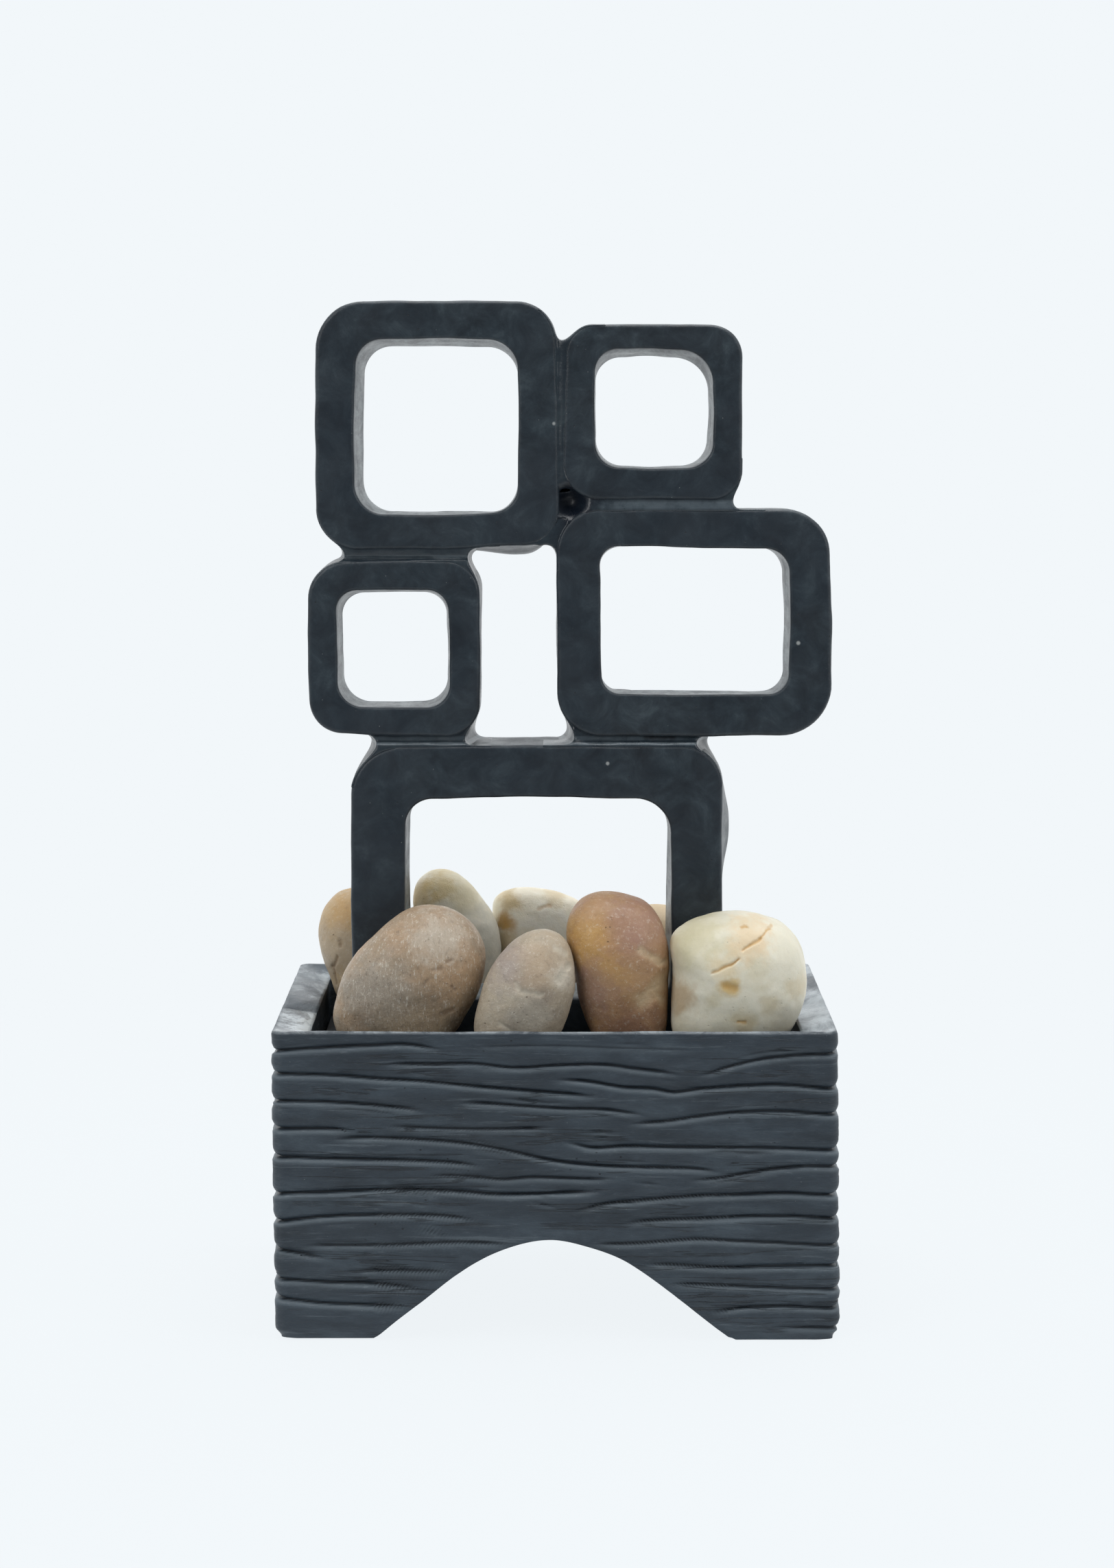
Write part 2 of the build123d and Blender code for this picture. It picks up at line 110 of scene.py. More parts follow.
def ramp(value, start, end):
    """0 at start, 1 at end, with soft shoulders."""
    t = np.clip((value - start) / (end - start), 0, 1)
    return t * t * (3 - 2 * t)


def grid_faces(rows, columns, wrap_rows=False, wrap_columns=False):
    """Quads of a grid whose point (row, column) has index row * columns + column."""
    row = np.arange(rows if wrap_rows else rows - 1)
    column = np.arange(columns if wrap_columns else columns - 1)
    r, c = np.meshgrid(row, column, indexing="ij")
    r2, c2 = (r + 1) % rows, (c + 1) % columns
    quads = np.stack([r * columns + c, r * columns + c2, r2 * columns + c2, r2 * columns + c], -1)
    return quads.reshape(-1, 4)


def make_piece(name, points, faces, body, replaced, material, values=()):
    """A mesh piece from points in millimetres that rides on a body, takes its material and hides the CAD
    nodes it replaces.

    values holds (attribute, a number for each point) pairs, which the material reads.
    """
    mesh = bpy.data.meshes.new(name)
    mesh.from_pydata((np.asarray(points) * MM).tolist(), [], [tuple(f) for f in np.asarray(faces, object)])
    mesh.validate()
    mesh.polygons.foreach_set("use_smooth", [True] * len(mesh.polygons))
    mesh.materials.append(material)
    for label, numbers in values:
        mesh.attributes.new(label, "FLOAT", "POINT").data.foreach_set("value", numbers)
    piece = bpy.data.objects.new(name, mesh)
    bpy.context.scene.collection.objects.link(piece)
    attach(piece, body)
    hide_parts(*replaced)


# ------------------------------------------------------------------ shader node helpers


def fill(tree, node, values):
    """Give a node's inputs their values, by name or number: a socket is linked, anything else is set."""
    for key, value in values.items():
        if isinstance(value, bpy.types.NodeSocket):
            tree.links.new(value, node.inputs[key])
        else:
            node.inputs[key].default_value = value
    return node


def add_node(tree, kind, values=None, **settings):
    """A new shader node with its settings and input values."""
    node = tree.nodes.new("ShaderNode" + kind)
    for key, value in settings.items():
        setattr(node, key, value)
    return fill(tree, node, values or {})


def linear(colour):
    """Linear values of an sRGB colour given as 0 to 255, and full opacity."""
    return (*(c / 255 / 12.92 if c <= 10.3 else ((c / 255 + 0.055) / 1.055) ** 2.4 for c in colour), 1)


def even_stops(tones, start, reach):
    """Colour ramp stops that share out a reach evenly."""
    return [(start + reach * k / (len(tones) - 1), tone) for k, tone in enumerate(tones)]


class Graph:
    """One material's node tree, with a short call for each kind of node it needs."""

    def __init__(self, name, specular):
        self.material = bpy.data.materials.new(name)
        self.material.use_nodes = True
        self.tree = self.material.node_tree
        self.shader = fill(self.tree, self.tree.nodes["Principled BSDF"], {"Specular IOR Level": specular})
        self.coord = self.node("TexCoord").outputs["Object"]

    def node(self, kind, values=None, **settings):
        return add_node(self.tree, kind, values, **settings)

    def stretched(self, scale):
        """Object coordinates, stretched by three factors if they are given."""
        if not scale:
            return self.coord
        return self.node("Mapping", {"Vector": self.coord, "Scale": scale}).outputs[0]

    def noise(self, scale, detail=4.0, rough=0.55, distortion=0.0, stretch=None, vector=None):
        return self.node("TexNoise", {
            "Scale": scale, "Detail": detail, "Roughness": rough, "Distortion": distortion,
            "Vector": vector or self.stretched(stretch)}).outputs["Fac"]

    def cells(self, scale, stretch=None):
        """Distance to the nearest of scattered points."""
        node = self.node("TexVoronoi", {"Scale": scale, "Vector": self.stretched(stretch)})
        return node.outputs["Distance"]

    def spread(self, value, low, high, out_low=0.0, out_high=1.0):
        """The range from low to high run softly onto another."""
        values = {"Value": value, "From Min": low, "From Max": high, "To Min": out_low, "To Max": out_high}
        return self.node("MapRange", values, interpolation_type="SMOOTHSTEP").outputs["Result"]

    def colours(self, value, stops):
        """A colour ramp from (position, colour) stops."""
        node = self.node("ValToRGB", {"Fac": value})
        ramp_points = node.color_ramp.elements
        while len(ramp_points) < len(stops):
            ramp_points.new(0.5)
        for point, (position, colour) in zip(ramp_points, stops):
            point.position = position
            point.color = linear(colour)
        return node.outputs["Color"]

    def math(self, kind, first, second=0.0):
        return self.node("Math", {0: first, 1: second}, operation=kind).outputs[0]

    def times(self, product, *factors):
        for factor in factors:
            product = self.math("MULTIPLY", product, factor)
        return product

    def tint(self, base, colour, *factors):
        """A colour laid over another, as strongly as the factors' product. Each is a socket or 0 to 255."""
        under, over = (c if isinstance(c, bpy.types.NodeSocket) else linear(c) for c in (base, colour))
        return self.node("Mix", {0: self.times(*factors), 6: under, 7: over}, data_type="RGBA").outputs[2]

    def from_level(self, axis, level):
        """How far a point lies past a level on an axis."""
        split = self.node("SeparateXYZ", {0: self.coord})
        return self.math("SUBTRACT", split.outputs[axis], level * MM)

    def spot(self, x, z, radius):
        """A round patch seen from the front, 1 in its middle, its edge broken by noise."""
        dx, dz = (self.times(self.from_level(*place), 1 / (radius * MM)) for place in (("X", x), ("Z", z)))
        away = self.math("SQRT", self.math("ADD", self.times(dx, dx), self.times(dz, dz)))
        broken = self.math("ADD", away, self.spread(self.noise(260, 3), 0.3, 0.7, -0.35, 0.35))
        return self.spread(broken, 1.6, 0.4)

    def band(self, middle, half):
        """1 at a height, falling to 0 a little above and below it."""
        away = self.math("ABSOLUTE", self.from_level("Z", middle))
        return self.spread(self.times(away, 1 / (half * MM)), 1.0, 0.3)

    def attribute(self, name):
        return self.node("Attribute", attribute_name=name).outputs["Fac"]

    def bump(self, height, depth, strength=1.0):
        """A bump of this depth in millimetres on top of any bump there already."""
        node = self.node("Bump", {"Height": height, "Distance": depth * MM, "Strength": strength})
        for before in list(self.shader.inputs["Normal"].links):
            self.tree.links.new(before.from_socket, node.inputs["Normal"])
        self.tree.links.new(node.outputs["Normal"], self.shader.inputs["Normal"])

    def finish(self, colour, roughness, values=None):
        """Feed the shader, set any other inputs of it, and return the material."""
        fill(self.tree, self.shader, {"Base Color": colour, "Roughness": roughness, **(values or {})})
        return self.material


# ------------------------------------------------------------------ camera, light and floor


def set_camera():
    """The camera stands in front and a little above, on a long lens, looking slightly down."""
    data = bpy.data.cameras.new("camera")
    data.lens = 78.05
    data.sensor_fit = "VERTICAL"
    data.sensor_height = 36.0
    data.clip_start = 0.01
    camera = bpy.data.objects.new("camera", data)
    camera.location = (0.0004, -0.869, 0.238)
    camera.rotation_euler = (math.radians(90 - 6.88), 0, 0)
    bpy.context.scene.collection.objects.link(camera)
    bpy.context.scene.camera = camera


def set_world():
    """A pale studio: bright above and behind the fountain, darker in front of it."""
    world = bpy.data.worlds.new("studio")
    bpy.context.scene.world = world
    world.use_nodes = True
    tree = world.node_tree
    tree.nodes.clear()
    split = add_node(tree, "SeparateXYZ", {0: add_node(tree, "TexCoord").outputs["Generated"]})
    scale = add_node(tree, "MapRange", {"Value": split.outputs["Y"], "From Min": -1.0, "From Max": 1.0})
    shade = add_node(tree, "ValToRGB", {"Fac": scale.outputs["Result"]})
    dim, bright = shade.color_ramp.elements
    dim.position, dim.color = 0.25, (0.22, 0.235, 0.25, 1)
    bright.position, bright.color = 0.62, (0.95, 0.98, 1.0, 1)
    lit = add_node(tree, "Background", {"Color": shade.outputs["Color"]})
    seen = add_node(tree, "Background", {"Color": PALE})
    is_seen = add_node(tree, "LightPath").outputs["Is Camera Ray"]
    mix = add_node(tree, "MixShader", {"Fac": is_seen, 1: lit.outputs[0], 2: seen.outputs[0]})
    add_node(tree, "OutputWorld", {"Surface": mix.outputs[0]})


def add_light(name, place, size, power):
    """A soft box aimed at the basin's rim."""
    data = bpy.data.lights.new(name, "AREA")
    data.shape = "RECTANGLE"
    data.size, data.size_y = size
    data.energy = power
    light = bpy.data.objects.new(name, data)
    light.location = place
    light.rotation_euler = (Vector((0, 0, 0.1)) - Vector(place)).to_track_quat("-Z", "Y").to_euler()
    bpy.context.scene.collection.objects.link(light)


def floor_material():
    """Pale and self-lit near the fountain, fading out into the studio further off."""
    material = bpy.data.materials.new("floor_pale")
    material.use_nodes = True
    tree = material.node_tree
    tree.nodes.clear()
    coord = add_node(tree, "TexCoord").outputs["Object"]
    length = add_node(tree, "VectorMath", {0: coord}, operation="LENGTH").outputs["Value"]
    reach = add_node(tree, "MapRange", {"Value": length, "From Min": 0.16, "From Max": 0.5},
                     interpolation_type="SMOOTHSTEP").outputs["Result"]
    glow = add_node(tree, "Emission", {"Color": PALE, "Strength": 0.95}).outputs[0]
    matt = add_node(tree, "BsdfDiffuse", {"Color": (0.035, 0.037, 0.038, 1)}).outputs[0]
    both = add_node(tree, "AddShader", {0: glow, 1: matt}).outputs[0]
    clear = add_node(tree, "BsdfTransparent").outputs[0]
    fade = add_node(tree, "MixShader", {"Fac": reach, 1: both, 2: clear}).outputs[0]
    add_node(tree, "OutputMaterial", {"Surface": fade})
    return material


def set_stage():
    """Soft boxes and a plain pale floor."""
    add_light("overhead", (0.1, 0.05, 1.1), (0.9, 0.9), 9.0)
    add_light("left_front", (-0.8, -0.75, 0.75), (0.6, 0.8), 5.0)
    add_light("right_front", (0.9, -0.6, 0.6), (0.5, 0.8), 3.0)
    mesh = bpy.data.meshes.new("floor")
    reach = 0.6
    corners = [(-reach, -reach, 0), (reach, -reach, 0), (reach, reach, 0), (-reach, reach, 0)]
    mesh.from_pydata(corners, [], [(0, 1, 2, 3)])
    floor = bpy.data.objects.new("floor", mesh)
    bpy.context.scene.collection.objects.link(floor)
    mesh.materials.append(floor_material())


set_camera()
set_world()
set_stage()
bpy.context.scene.view_settings.view_transform = "Standard"

# ------------------------------------------------------------------ resin materials


def slate_material():
    """Dark blue-grey cast resin, cloudy and streaked, with painted shade in the gouges, painted highlights on
    their lips and a painted reflection on the rim.
    """
    g = Graph("slate_resin", 0.42)
    # rim holds the painted reflection on the rim, and the lip value the painted highlight on the gouges' lips
    rim, lip_highlight = g.attribute("painted_rim_sheen"), g.attribute("lip_highlight")
    tone = g.colours(g.noise(48, 6, 0.65, 0.3, (1, 1, 3.2)),
                     [(0.3, (34, 43, 51)), (0.5, (45, 55, 64)), (0.64, (56, 67, 76)), (0.8, (76, 87, 95))])
    streaks = g.spread(g.noise(150, 6, 0.72, 0.4, (0.22, 0.3, 4.0)), 0.56, 0.72)
    tone = g.tint(tone, (104, 114, 121), streaks, 0.5)
    # painted highlight on the lower lips of the gouges
    tone = g.tint(tone, (112, 123, 130), lip_highlight, 0.5)
    # pale scuffs everywhere, stronger on the lips as painted highlight
    scuffs = g.spread(g.noise(700, 5, 0.75, 0.0, (0.35, 0.35, 1.6)), 0.55, 0.75, 0, 0.4)
    tone = g.tint(tone, (132, 141, 147), scuffs, g.math("ADD", lip_highlight, 0.25))
    # painted shade darkening the gouges' creases
    tone = g.tint(tone, (17, 24, 31), g.spread(g.attribute("crease_shade"), 0.08, 0.95, 0, 0.92))
    # painted reflection on the rim: pale streaks and white flecks
    rim_reflection_streaks = g.spread(g.noise(130, 6, 0.7, 0.6, (0.6, 0.28, 1.0)), 0.40, 0.62, 0.0, 0.85)
    tone = g.tint(tone, (172, 180, 184), rim_reflection_streaks, rim)
    rim_reflection_flecks = g.spread(g.noise(900, 4, 0.8, 1.5), 0.63, 0.70, 0, 0.55)
    tone = g.tint(tone, (196, 202, 206), rim_reflection_flecks, rim)
    # hairline splits lie where a wavy noise crosses its middle
    off_line = g.math("ABSOLUTE", g.math("SUBTRACT", g.noise(60, 4, 0.55, 0.3, (0.16, 0.2, 3.4)), 0.5))
    splits = g.times(g.spread(off_line, 0.011, 0.003), g.spread(g.noise(34, 3, 0.6), 0.46, 0.56),
                     g.spread(rim, 0.0, 0.3, 1.0, 0.0))
    tone = g.tint(tone, (24, 31, 38), splits, 0.6)
    tone = g.tint(tone, (168, 172, 172), g.spread(g.cells(330), 0.045, 0.0), 0.5)
    pits = g.times(g.spread(g.cells(390, (0.8, 0.8, 1.2)), 0.11, 0.03), g.spread(g.noise(70, 2), 0.56, 0.62))
    tone = g.tint(tone, (16, 20, 25), pits)
    calm = g.spread(rim, 0.0, 0.9, 1.0, 0.12)
    g.bump(g.times(g.noise(900, 4, 0.7, 0.0, (0.8, 0.8, 2.5)), calm), 0.10)
    g.bump(g.times(g.noise(240, 5, 0.66, 0.0, (0.3, 0.35, 3)), calm), 0.55, 0.9)
    g.bump(splits, -0.3)
    g.bump(pits, -0.25)
    rough = g.spread(g.noise(110, 3), 0.3, 0.7, 0.40, 0.56)
    return g.finish(tone, g.math("SUBTRACT", rough, g.times(rim, 0.17)))


def sculpture_material():
    """Darker satin cast resin, softly mottled, with pinholes, faint scratches and dust, painted reflection
    streaks on its walls and three painted glints.
    """
    g = Graph("sculpture_resin", 0.42)
    tone = g.colours(g.noise(120, 6, 0.68, 0.5),
                     [(0.3, (24, 31, 38)), (0.46, (36, 45, 52)), (0.57, (46, 56, 63)), (0.72, (66, 77, 83))])
    tone = g.tint(tone, (36, 45, 54), g.spread(g.noise(28, 3, 0.5), 0.35, 0.65, 0.0, 0.45))
    holes = g.times(g.spread(g.cells(420), 0.075, 0.02), g.spread(g.noise(140, 2), 0.52, 0.60))
    tone = g.tint(tone, (11, 14, 17), holes)
    tone = g.tint(tone, (150, 155, 155), g.spread(g.cells(290, (1.0, 1.3, 0.9)), 0.05, 0.0), 0.6)
    scratches = g.spread(g.noise(260, 6, 0.78, 0.8, (0.5, 1, 1.5)), 0.64, 0.74, 0, 0.26)
    tone = g.tint(tone, (82, 92, 98), scratches)
    # painted glints: three small white dots
    for x, z in ((-0.4, 225.6), (61.5, 170.3), (13.2, 139.6)):
        tone = g.tint(tone, (196, 199, 197), g.spot(x, z, 0.36), 0.55)
    # painted reflection streaks on the window walls, fainter on the outer walls
    wall_reflection_streaks = g.spread(g.noise(170, 6, 0.72, 0.4, (1.6, 0.35, 1.6)), 0.36, 0.66, 0.1, 0.68)
    tone = g.tint(tone, (150, 158, 161), wall_reflection_streaks, g.attribute("wall_sheen"))
    g.bump(g.noise(520, 5, 0.7), 0.15)
    g.bump(g.noise(110, 3, 0.6), 0.25, 0.5)
    g.bump(holes, -0.2)
    return g.finish(tone, g.spread(g.noise(75, 5, 0.65), 0.3, 0.7, 0.30, 0.50))


# painted highlights: pale bands along the joints' ledges, as height, half width, colour, strength
LEDGES_LIT = [(205.1, 1.7, (92, 103, 110), 0.6), (144.6, 0.5, (120, 130, 136), 0.7),
              (145.9, 0.8, (76, 87, 94), 0.6), (192.1, 0.6, (94, 105, 111), 0.5)]


def joint_material():
    """The paste that joins the frames: like them but glossier, with painted highlights on its ledges, painted
    shade in the middle pit and a row of painted dark spots for a slot.
    """
    g = Graph("bond_resin", 0.5)
    tone = g.colours(g.noise(120, 6, 0.68, 0.5),
                     [(0.3, (24, 33, 41)), (0.46, (33, 43, 51)), (0.58, (41, 52, 59)), (0.74, (58, 70, 75))])
    smears = g.spread(g.noise(420, 5, 0.75, 0.6, (0.3, 1, 1.8)), 0.58, 0.74, 0, 0.3)
    tone = g.tint(tone, (96, 108, 114), smears)
    away = g.math("SUBTRACT", 1.0, g.spot(*PIT, 8.0))
    # painted highlights along the ledges, kept off the pit
    for middle, half, colour, amount in LEDGES_LIT:
        broken = g.spread(g.noise(240, 4, 0.7), 0.3, 0.6, 0.4, 1.0)
        tone = g.tint(tone, colour, g.band(middle, half), broken, away, amount)
    # painted shade in the pit where three frames meet
    tone = g.tint(tone, (13, 21, 32), g.spot(*PIT, 5.4), 0.97)
    # painted shade: a row of dark spots standing for a slot in the joint
    for x in (23.2, 24.8, 26.4, 28.0, 29.6):
        tone = g.tint(tone, (12, 15, 20), g.spot(x, 146.6, 1.0), 0.8)
    g.bump(g.noise(380, 4, 0.65), 0.12)
    return g.finish(tone, g.spread(g.noise(120, 4, 0.6), 0.3, 0.7, 0.24, 0.42))


MATERIALS = {"slate_resin": slate_material(), "sculpture_resin": sculpture_material(),
             "bond_resin": joint_material()}

# ------------------------------------------------------------------ basin

(_, _, FOOT), (HALF_WIDTH, HALF_DEPTH, RIM) = node_box("basin")
_, _, FLOOR = node_box("stone_tray")[0]
_, _, TRAY_TOP = node_box("stone_tray")[1]
WIDEST, _, TALLEST = np.array(cad_box[1]) / MM
RIGHT_FOOT = max(FOOT - 0.9, 0.05)
WALL = 9.0
RIM_FALL = 2.2
BASIN_CORNER = 3.0
BASIN_ROWS, SIDE_COLUMNS, CORNER_COLUMNS = 228, 46, 6
RIM_RINGS = 12
ARCH_SPANS = 14                   # steps from the front to the back under the arch
ARCH = [(-46.0, 0.0), (-43.6, 1.4), (-42.0, 2.8), (-38.0, 6.1), (-33.4, 9.6), (-24.5, 16.6), (-19.3, 20.0),
        (-11.5, 23.6), (-1.0, 25.6), (8.7, 23.6), (17.5, 20.0), (22.6, 16.6), (31.8, 9.6), (36.1, 6.1),
        (43.8, 0.0)]
# gouges on the front as (depth, [(x, height), ...]); those that reach a corner run on round it
FRONT_GOUGES = [
    (1.0, [(-69.4, 72.8), (-58, 73.6), (-44, 74.3), (-36, 74.5), (-31, 73.8), (-25.5, 73.1)]),
    (0.9, [(-44, 69.8), (-32, 69.6), (-19, 69.6), (-11, 68.7), (1.7, 69.3), (12.5, 69.4), (19.5, 68.5),
           (33, 66.9)]),
    (0.3, [(-22, 74.1), (0, 74.3), (20, 73.6), (37, 73.2)]),
    (1.1, [(-68.7, 67.1), (-53, 66.7), (-44, 66), (-32, 65.3), (-20, 64.1), (-6, 62.9), (2, 62.3),
           (12, 61.4)]),
    (1.1, [(-68, 60.3), (-58, 60.2), (-49, 59.7), (-39, 58.8), (-34, 58.2), (-30, 57.3)]),
    (0.9, [(-26, 60.2), (-20, 60), (-9, 59.2), (2, 58.5), (12.5, 58.2), (18, 57.5), (24, 56.7)]),
    (1.2, [(-68, 53.4), (-56, 53.4), (-47, 53)]),
    (0.7, [(-44, 54.4), (-32, 53.7), (-18, 53.4), (-6, 53.6), (2, 54.1)]),
    (0.6, [(5.4, 53), (17, 52.8)]),
    (1.0, [(-57, 51), (-44, 51.2), (-32, 50.7), (-20, 49.5), (-11, 47.8), (-4, 46.1), (2, 45), (10, 44.2),
           (22, 43.7), (34, 43.4), (43, 42.5)]),
    (1.2, [(-68, 46.2), (-53, 45.8), (-37, 45.5), (-25, 44.9), (-16, 43.9)]),
    (0.8, [(-34, 41.9), (-20, 41.4), (-13, 40.7), (-6, 41.2), (2, 41), (10, 40.8), (17, 41.1)]),
    (1.2, [(-67, 37.1), (-53, 37.6), (-39, 38.1), (-25, 37.7), (-16, 37), (2, 37.3), (12.5, 37.8)]),
    (0.5, [(-9, 36.1), (2, 33.2), (3.5, 32.7)]),
    (0.9, [(33, 66.5), (38, 67.5), (43, 69), (50, 70.7), (57, 71.6), (69, 72.2)]),
    (1.1, [(-2, 66), (8, 65.3), (17, 63.8), (24, 63.4), (28.5, 62.6), (36, 63.4), (45.5, 64.1), (54, 64.4),
           (68, 63.4)]),
    (1.0, [(16, 54.7), (27, 55.3), (36, 56.6), (45.5, 57.6), (55, 57.8), (68, 57)]),
    (1.1, [(0, 50.7), (4.5, 49.7), (8, 48.8), (17, 49), (29, 48.8), (38, 48.7), (55, 48.5), (69, 48)]),
    (0.9, [(31, 40.7), (40, 41), (45.5, 41.9), (53, 43.2), (60, 43.9), (68, 43.9)]),
    (0.5, [(17, 40.6), (23, 39.8), (30, 39.3)]),
    (1.2, [(3.5, 32.7), (12.5, 34.5), (22, 35.4), (34, 36.4), (45.5, 36.8), (57, 37.1), (69, 36.6)]),
    (1.1, [(-68, 30.1), (-58, 31.2), (-46, 31.7), (-37, 31.8), (-25, 31.3), (-17.5, 30.2)]),
    (0.6, [(-37, 28.8), (-32, 28), (-24.6, 26)]),
    (0.8, [(-64.5, 24.2), (-49, 24.1), (-34.5, 24.5), (-25, 24.9), (-9, 24.4)]),
    (1.1, [(-69, 22.8), (-60.5, 21.5), (-54, 20.3)]),
    (0.8, [(-53, 17.9), (-39, 17.7), (-23, 17.3)]),
    (1.1, [(-69, 15.4), (-56, 14.6), (-44, 14.2), (-34.5, 13), (-31, 12.2)]),
    (1.1, [(-69, 10.6), (-58, 9.4), (-49, 9), (-34.5, 8.6)]),
    (1.1, [(15, 29.7), (27, 30.4), (38, 30.8), (50, 31.3), (60, 31.2), (69, 30.7)]),
    (0.9, [(7, 24.7), (17, 24.5), (27, 25.1), (34, 25.6), (45.5, 25.1), (55, 24.7), (68, 24.0)]),
    (1.0, [(19.6, 19.5), (31, 19), (41, 18.4), (55, 18.7), (69, 18.8)]),
    (0.9, [(26, 14.6), (41, 13.9), (55, 13.3), (69, 12.9)]),
    (0.5, [(32, 10.6), (37, 10.6), (42, 10.4)]),
    (0.9, [(36, 6.7), (45.5, 8.1), (55, 8.6), (69, 8.1)]),
    (0.8, [(52, 3.6), (60, 3.2), (69, 3.0)]),
]
SIDE_START = HALF_WIDTH - 5.0     # a gouge that gets this far along the front runs on round the corner
SIDE_MARGIN = 6.0                 # how far from the front's ends the seeded gouges keep
COURSE_GAP = 3.4                  # height from one seeded course to the next
GOUGE_FADE = 9                    # length over which a gouge dies out at each end


def perimeter_columns():
    """Columns round the outside, from the front's left end and anticlockwise seen from above.

    Each has a place, an outward direction, a distance along from the front's middle, and a side: 0 at the
    front, 1 on the right, 2 at the back, 3 on the left. The last value is the whole way round.
    """
    half = np.array([HALF_WIDTH, HALF_DEPTH])
    straight_x, straight_y = half - BASIN_CORNER
    stops = [-straight_x, ARCH[0][0], ARCH[-1][0], straight_x]
    front, back = (np.concatenate([
        np.linspace(a, b, int((b - a) / step), endpoint=False) for a, b, step in zip(stops, stops[1:], steps)
    ]) for steps in ((0.9, 0.9, 0.9), (1.8, 0.9, 1.8)))
    back = -np.append(back, straight_x)[::-1][:-1]
    flank = np.linspace(-straight_y, straight_y, SIDE_COLUMNS, endpoint=False)
    turn = np.linspace(0, math.pi / 2, CORNER_COLUMNS, endpoint=False)[:, None]
    place, outward, side = [], [], []
    for run, normal, label, corner_label in ((front, (0, -1), 0, 1), (flank, (1, 0), 1, 1),
                                             (back, (0, 1), 2, 3), (flank, (-1, 0), 3, 3)):
        normal = np.array(normal, float)
        ahead = np.array([-normal[1], normal[0]])
        bend = np.cos(turn) * normal + np.sin(turn) * ahead
        corner = (normal + ahead) * (half - BASIN_CORNER)
        place += [normal * half + run[:, None] * ahead, corner + BASIN_CORNER * bend]
        outward += [np.tile(normal, (len(run), 1)), bend]
        side += [label] * len(run) + [corner_label] * len(turn)
    place = np.vstack(place)
    step = np.linalg.norm(np.diff(place, axis=0, append=place[:1]), axis=1)
    travel = np.concatenate([[0], np.cumsum(step)[:-1]]) + place[0, 0]
    return place, np.vstack(outward), travel, np.array(side), step.sum()


def all_gouges(length):
    """Front gouges, carried round the corners, and seeded ones for the sides and the back."""
    rng = np.random.default_rng(11)
    gouges = []
    for depth, points in FRONT_GOUGES:
        (left, left_height), (right, right_height) = points[0], points[-1]
        before, after = [], []
        if right > SIDE_START:
            reach = rng.uniform(25, 75)
            after = [(right + reach * k / 3, right_height + rng.uniform(-1.2, 1.2)) for k in (1, 2, 3)]
        if left < -SIDE_START:
            reach = rng.uniform(25, 75)
            before = [(left - reach * k / 3, left_height + rng.uniform(-1.2, 1.2)) for k in (3, 2, 1)]
        points = before + points + after
        gouges.append((depth, points))
        # finer splits run beside it
        start, end = points[0][0], points[-1][0]
        for _ in range(rng.integers(2, 5)):
            reach = min(rng.uniform(7, 26), end - start)
            first = rng.uniform(start, end - reach)
            apart = rng.choice((-1.0, 1.0)) * rng.uniform(0.9, 1.9)
            place = np.linspace(first, first + reach, 4)
            follow = smooth_curve(points, place) + apart + rng.uniform(-0.35, 0.35, 4)
            gouges.append((rng.uniform(0.15, 0.45), list(zip(place, follow))))
    side_from, side_to = HALF_WIDTH + SIDE_MARGIN, length - HALF_WIDTH - SIDE_MARGIN
    for course in np.arange(4.0, RIM - 3.0, COURSE_GAP):
        start = side_from + rng.uniform(-2, 24)
        while start < side_to - 12:
            reach = min(rng.uniform(22, 70), side_to - start)
            height = course + rng.uniform(-1.2, 1.2)
            drift = rng.uniform(-2.2, 2.2)
            points = [(start + reach * share, height + drift * share + rng.uniform(-0.6, 0.6))
                      for share in (0, 0.25, 0.5, 0.75, 1)]
            gouges.append((rng.uniform(0.5, 1.3), points))
            start += reach + rng.uniform(2, 30)
    return gouges


def gouged(travel, height, length):
    """How far in from the basin's outer plane the surface lies, at travel along it and height."""
    depth = np.zeros_like(travel)
    crease_shade, lip_highlight = np.zeros_like(travel), np.zeros_like(travel)
    for cut, points in all_gouges(length):
        start, end = points[0][0], points[-1][0]
        for shift in (-length, 0, length):
            inside = (travel + shift > start) & (travel + shift < end)
            if not inside.any():
                continue
            t = travel[inside] + shift
            fade = np.minimum(ramp(t, start, start + GOUGE_FADE), ramp(-t, -end, -end + GOUGE_FADE))
            gap = height[inside] - smooth_curve(points, t)
            # a course laps over the next: it draws in slowly above a narrow crease, comes out sharply below
            above = 0.55 * np.clip(1 - gap / 2.4, 0, 1) ** 1.4 + 0.55 * np.exp(-(gap / 0.42) ** 2)
            below = 1.1 * (1 - np.sqrt(np.clip(-gap / 0.8, 0, 1)))
            depth[inside] = np.maximum(depth[inside], 1.25 * cut * fade * np.where(gap > 0, above, below))
            # painted shade: strongest in the crease, fading up the slope above it
            shade = np.where(gap > 0, 0.36 * np.clip(1 - gap / 1.7, 0, 1) + 0.64 * np.exp(-(gap / 0.4) ** 2),
                             np.exp(-(gap / 0.22) ** 2))
            crease_shade[inside] = np.maximum(crease_shade[inside], fade * min(1.0, cut + 0.25) * shade)
            # painted highlight on the rounded lip just below the crease
            lip_highlight[inside] = np.maximum(lip_highlight[inside], cut * fade * ramp(-gap, 0.1, 0.4) * ramp(gap, -1.8, -0.45))
    return depth, crease_shade, lip_highlight


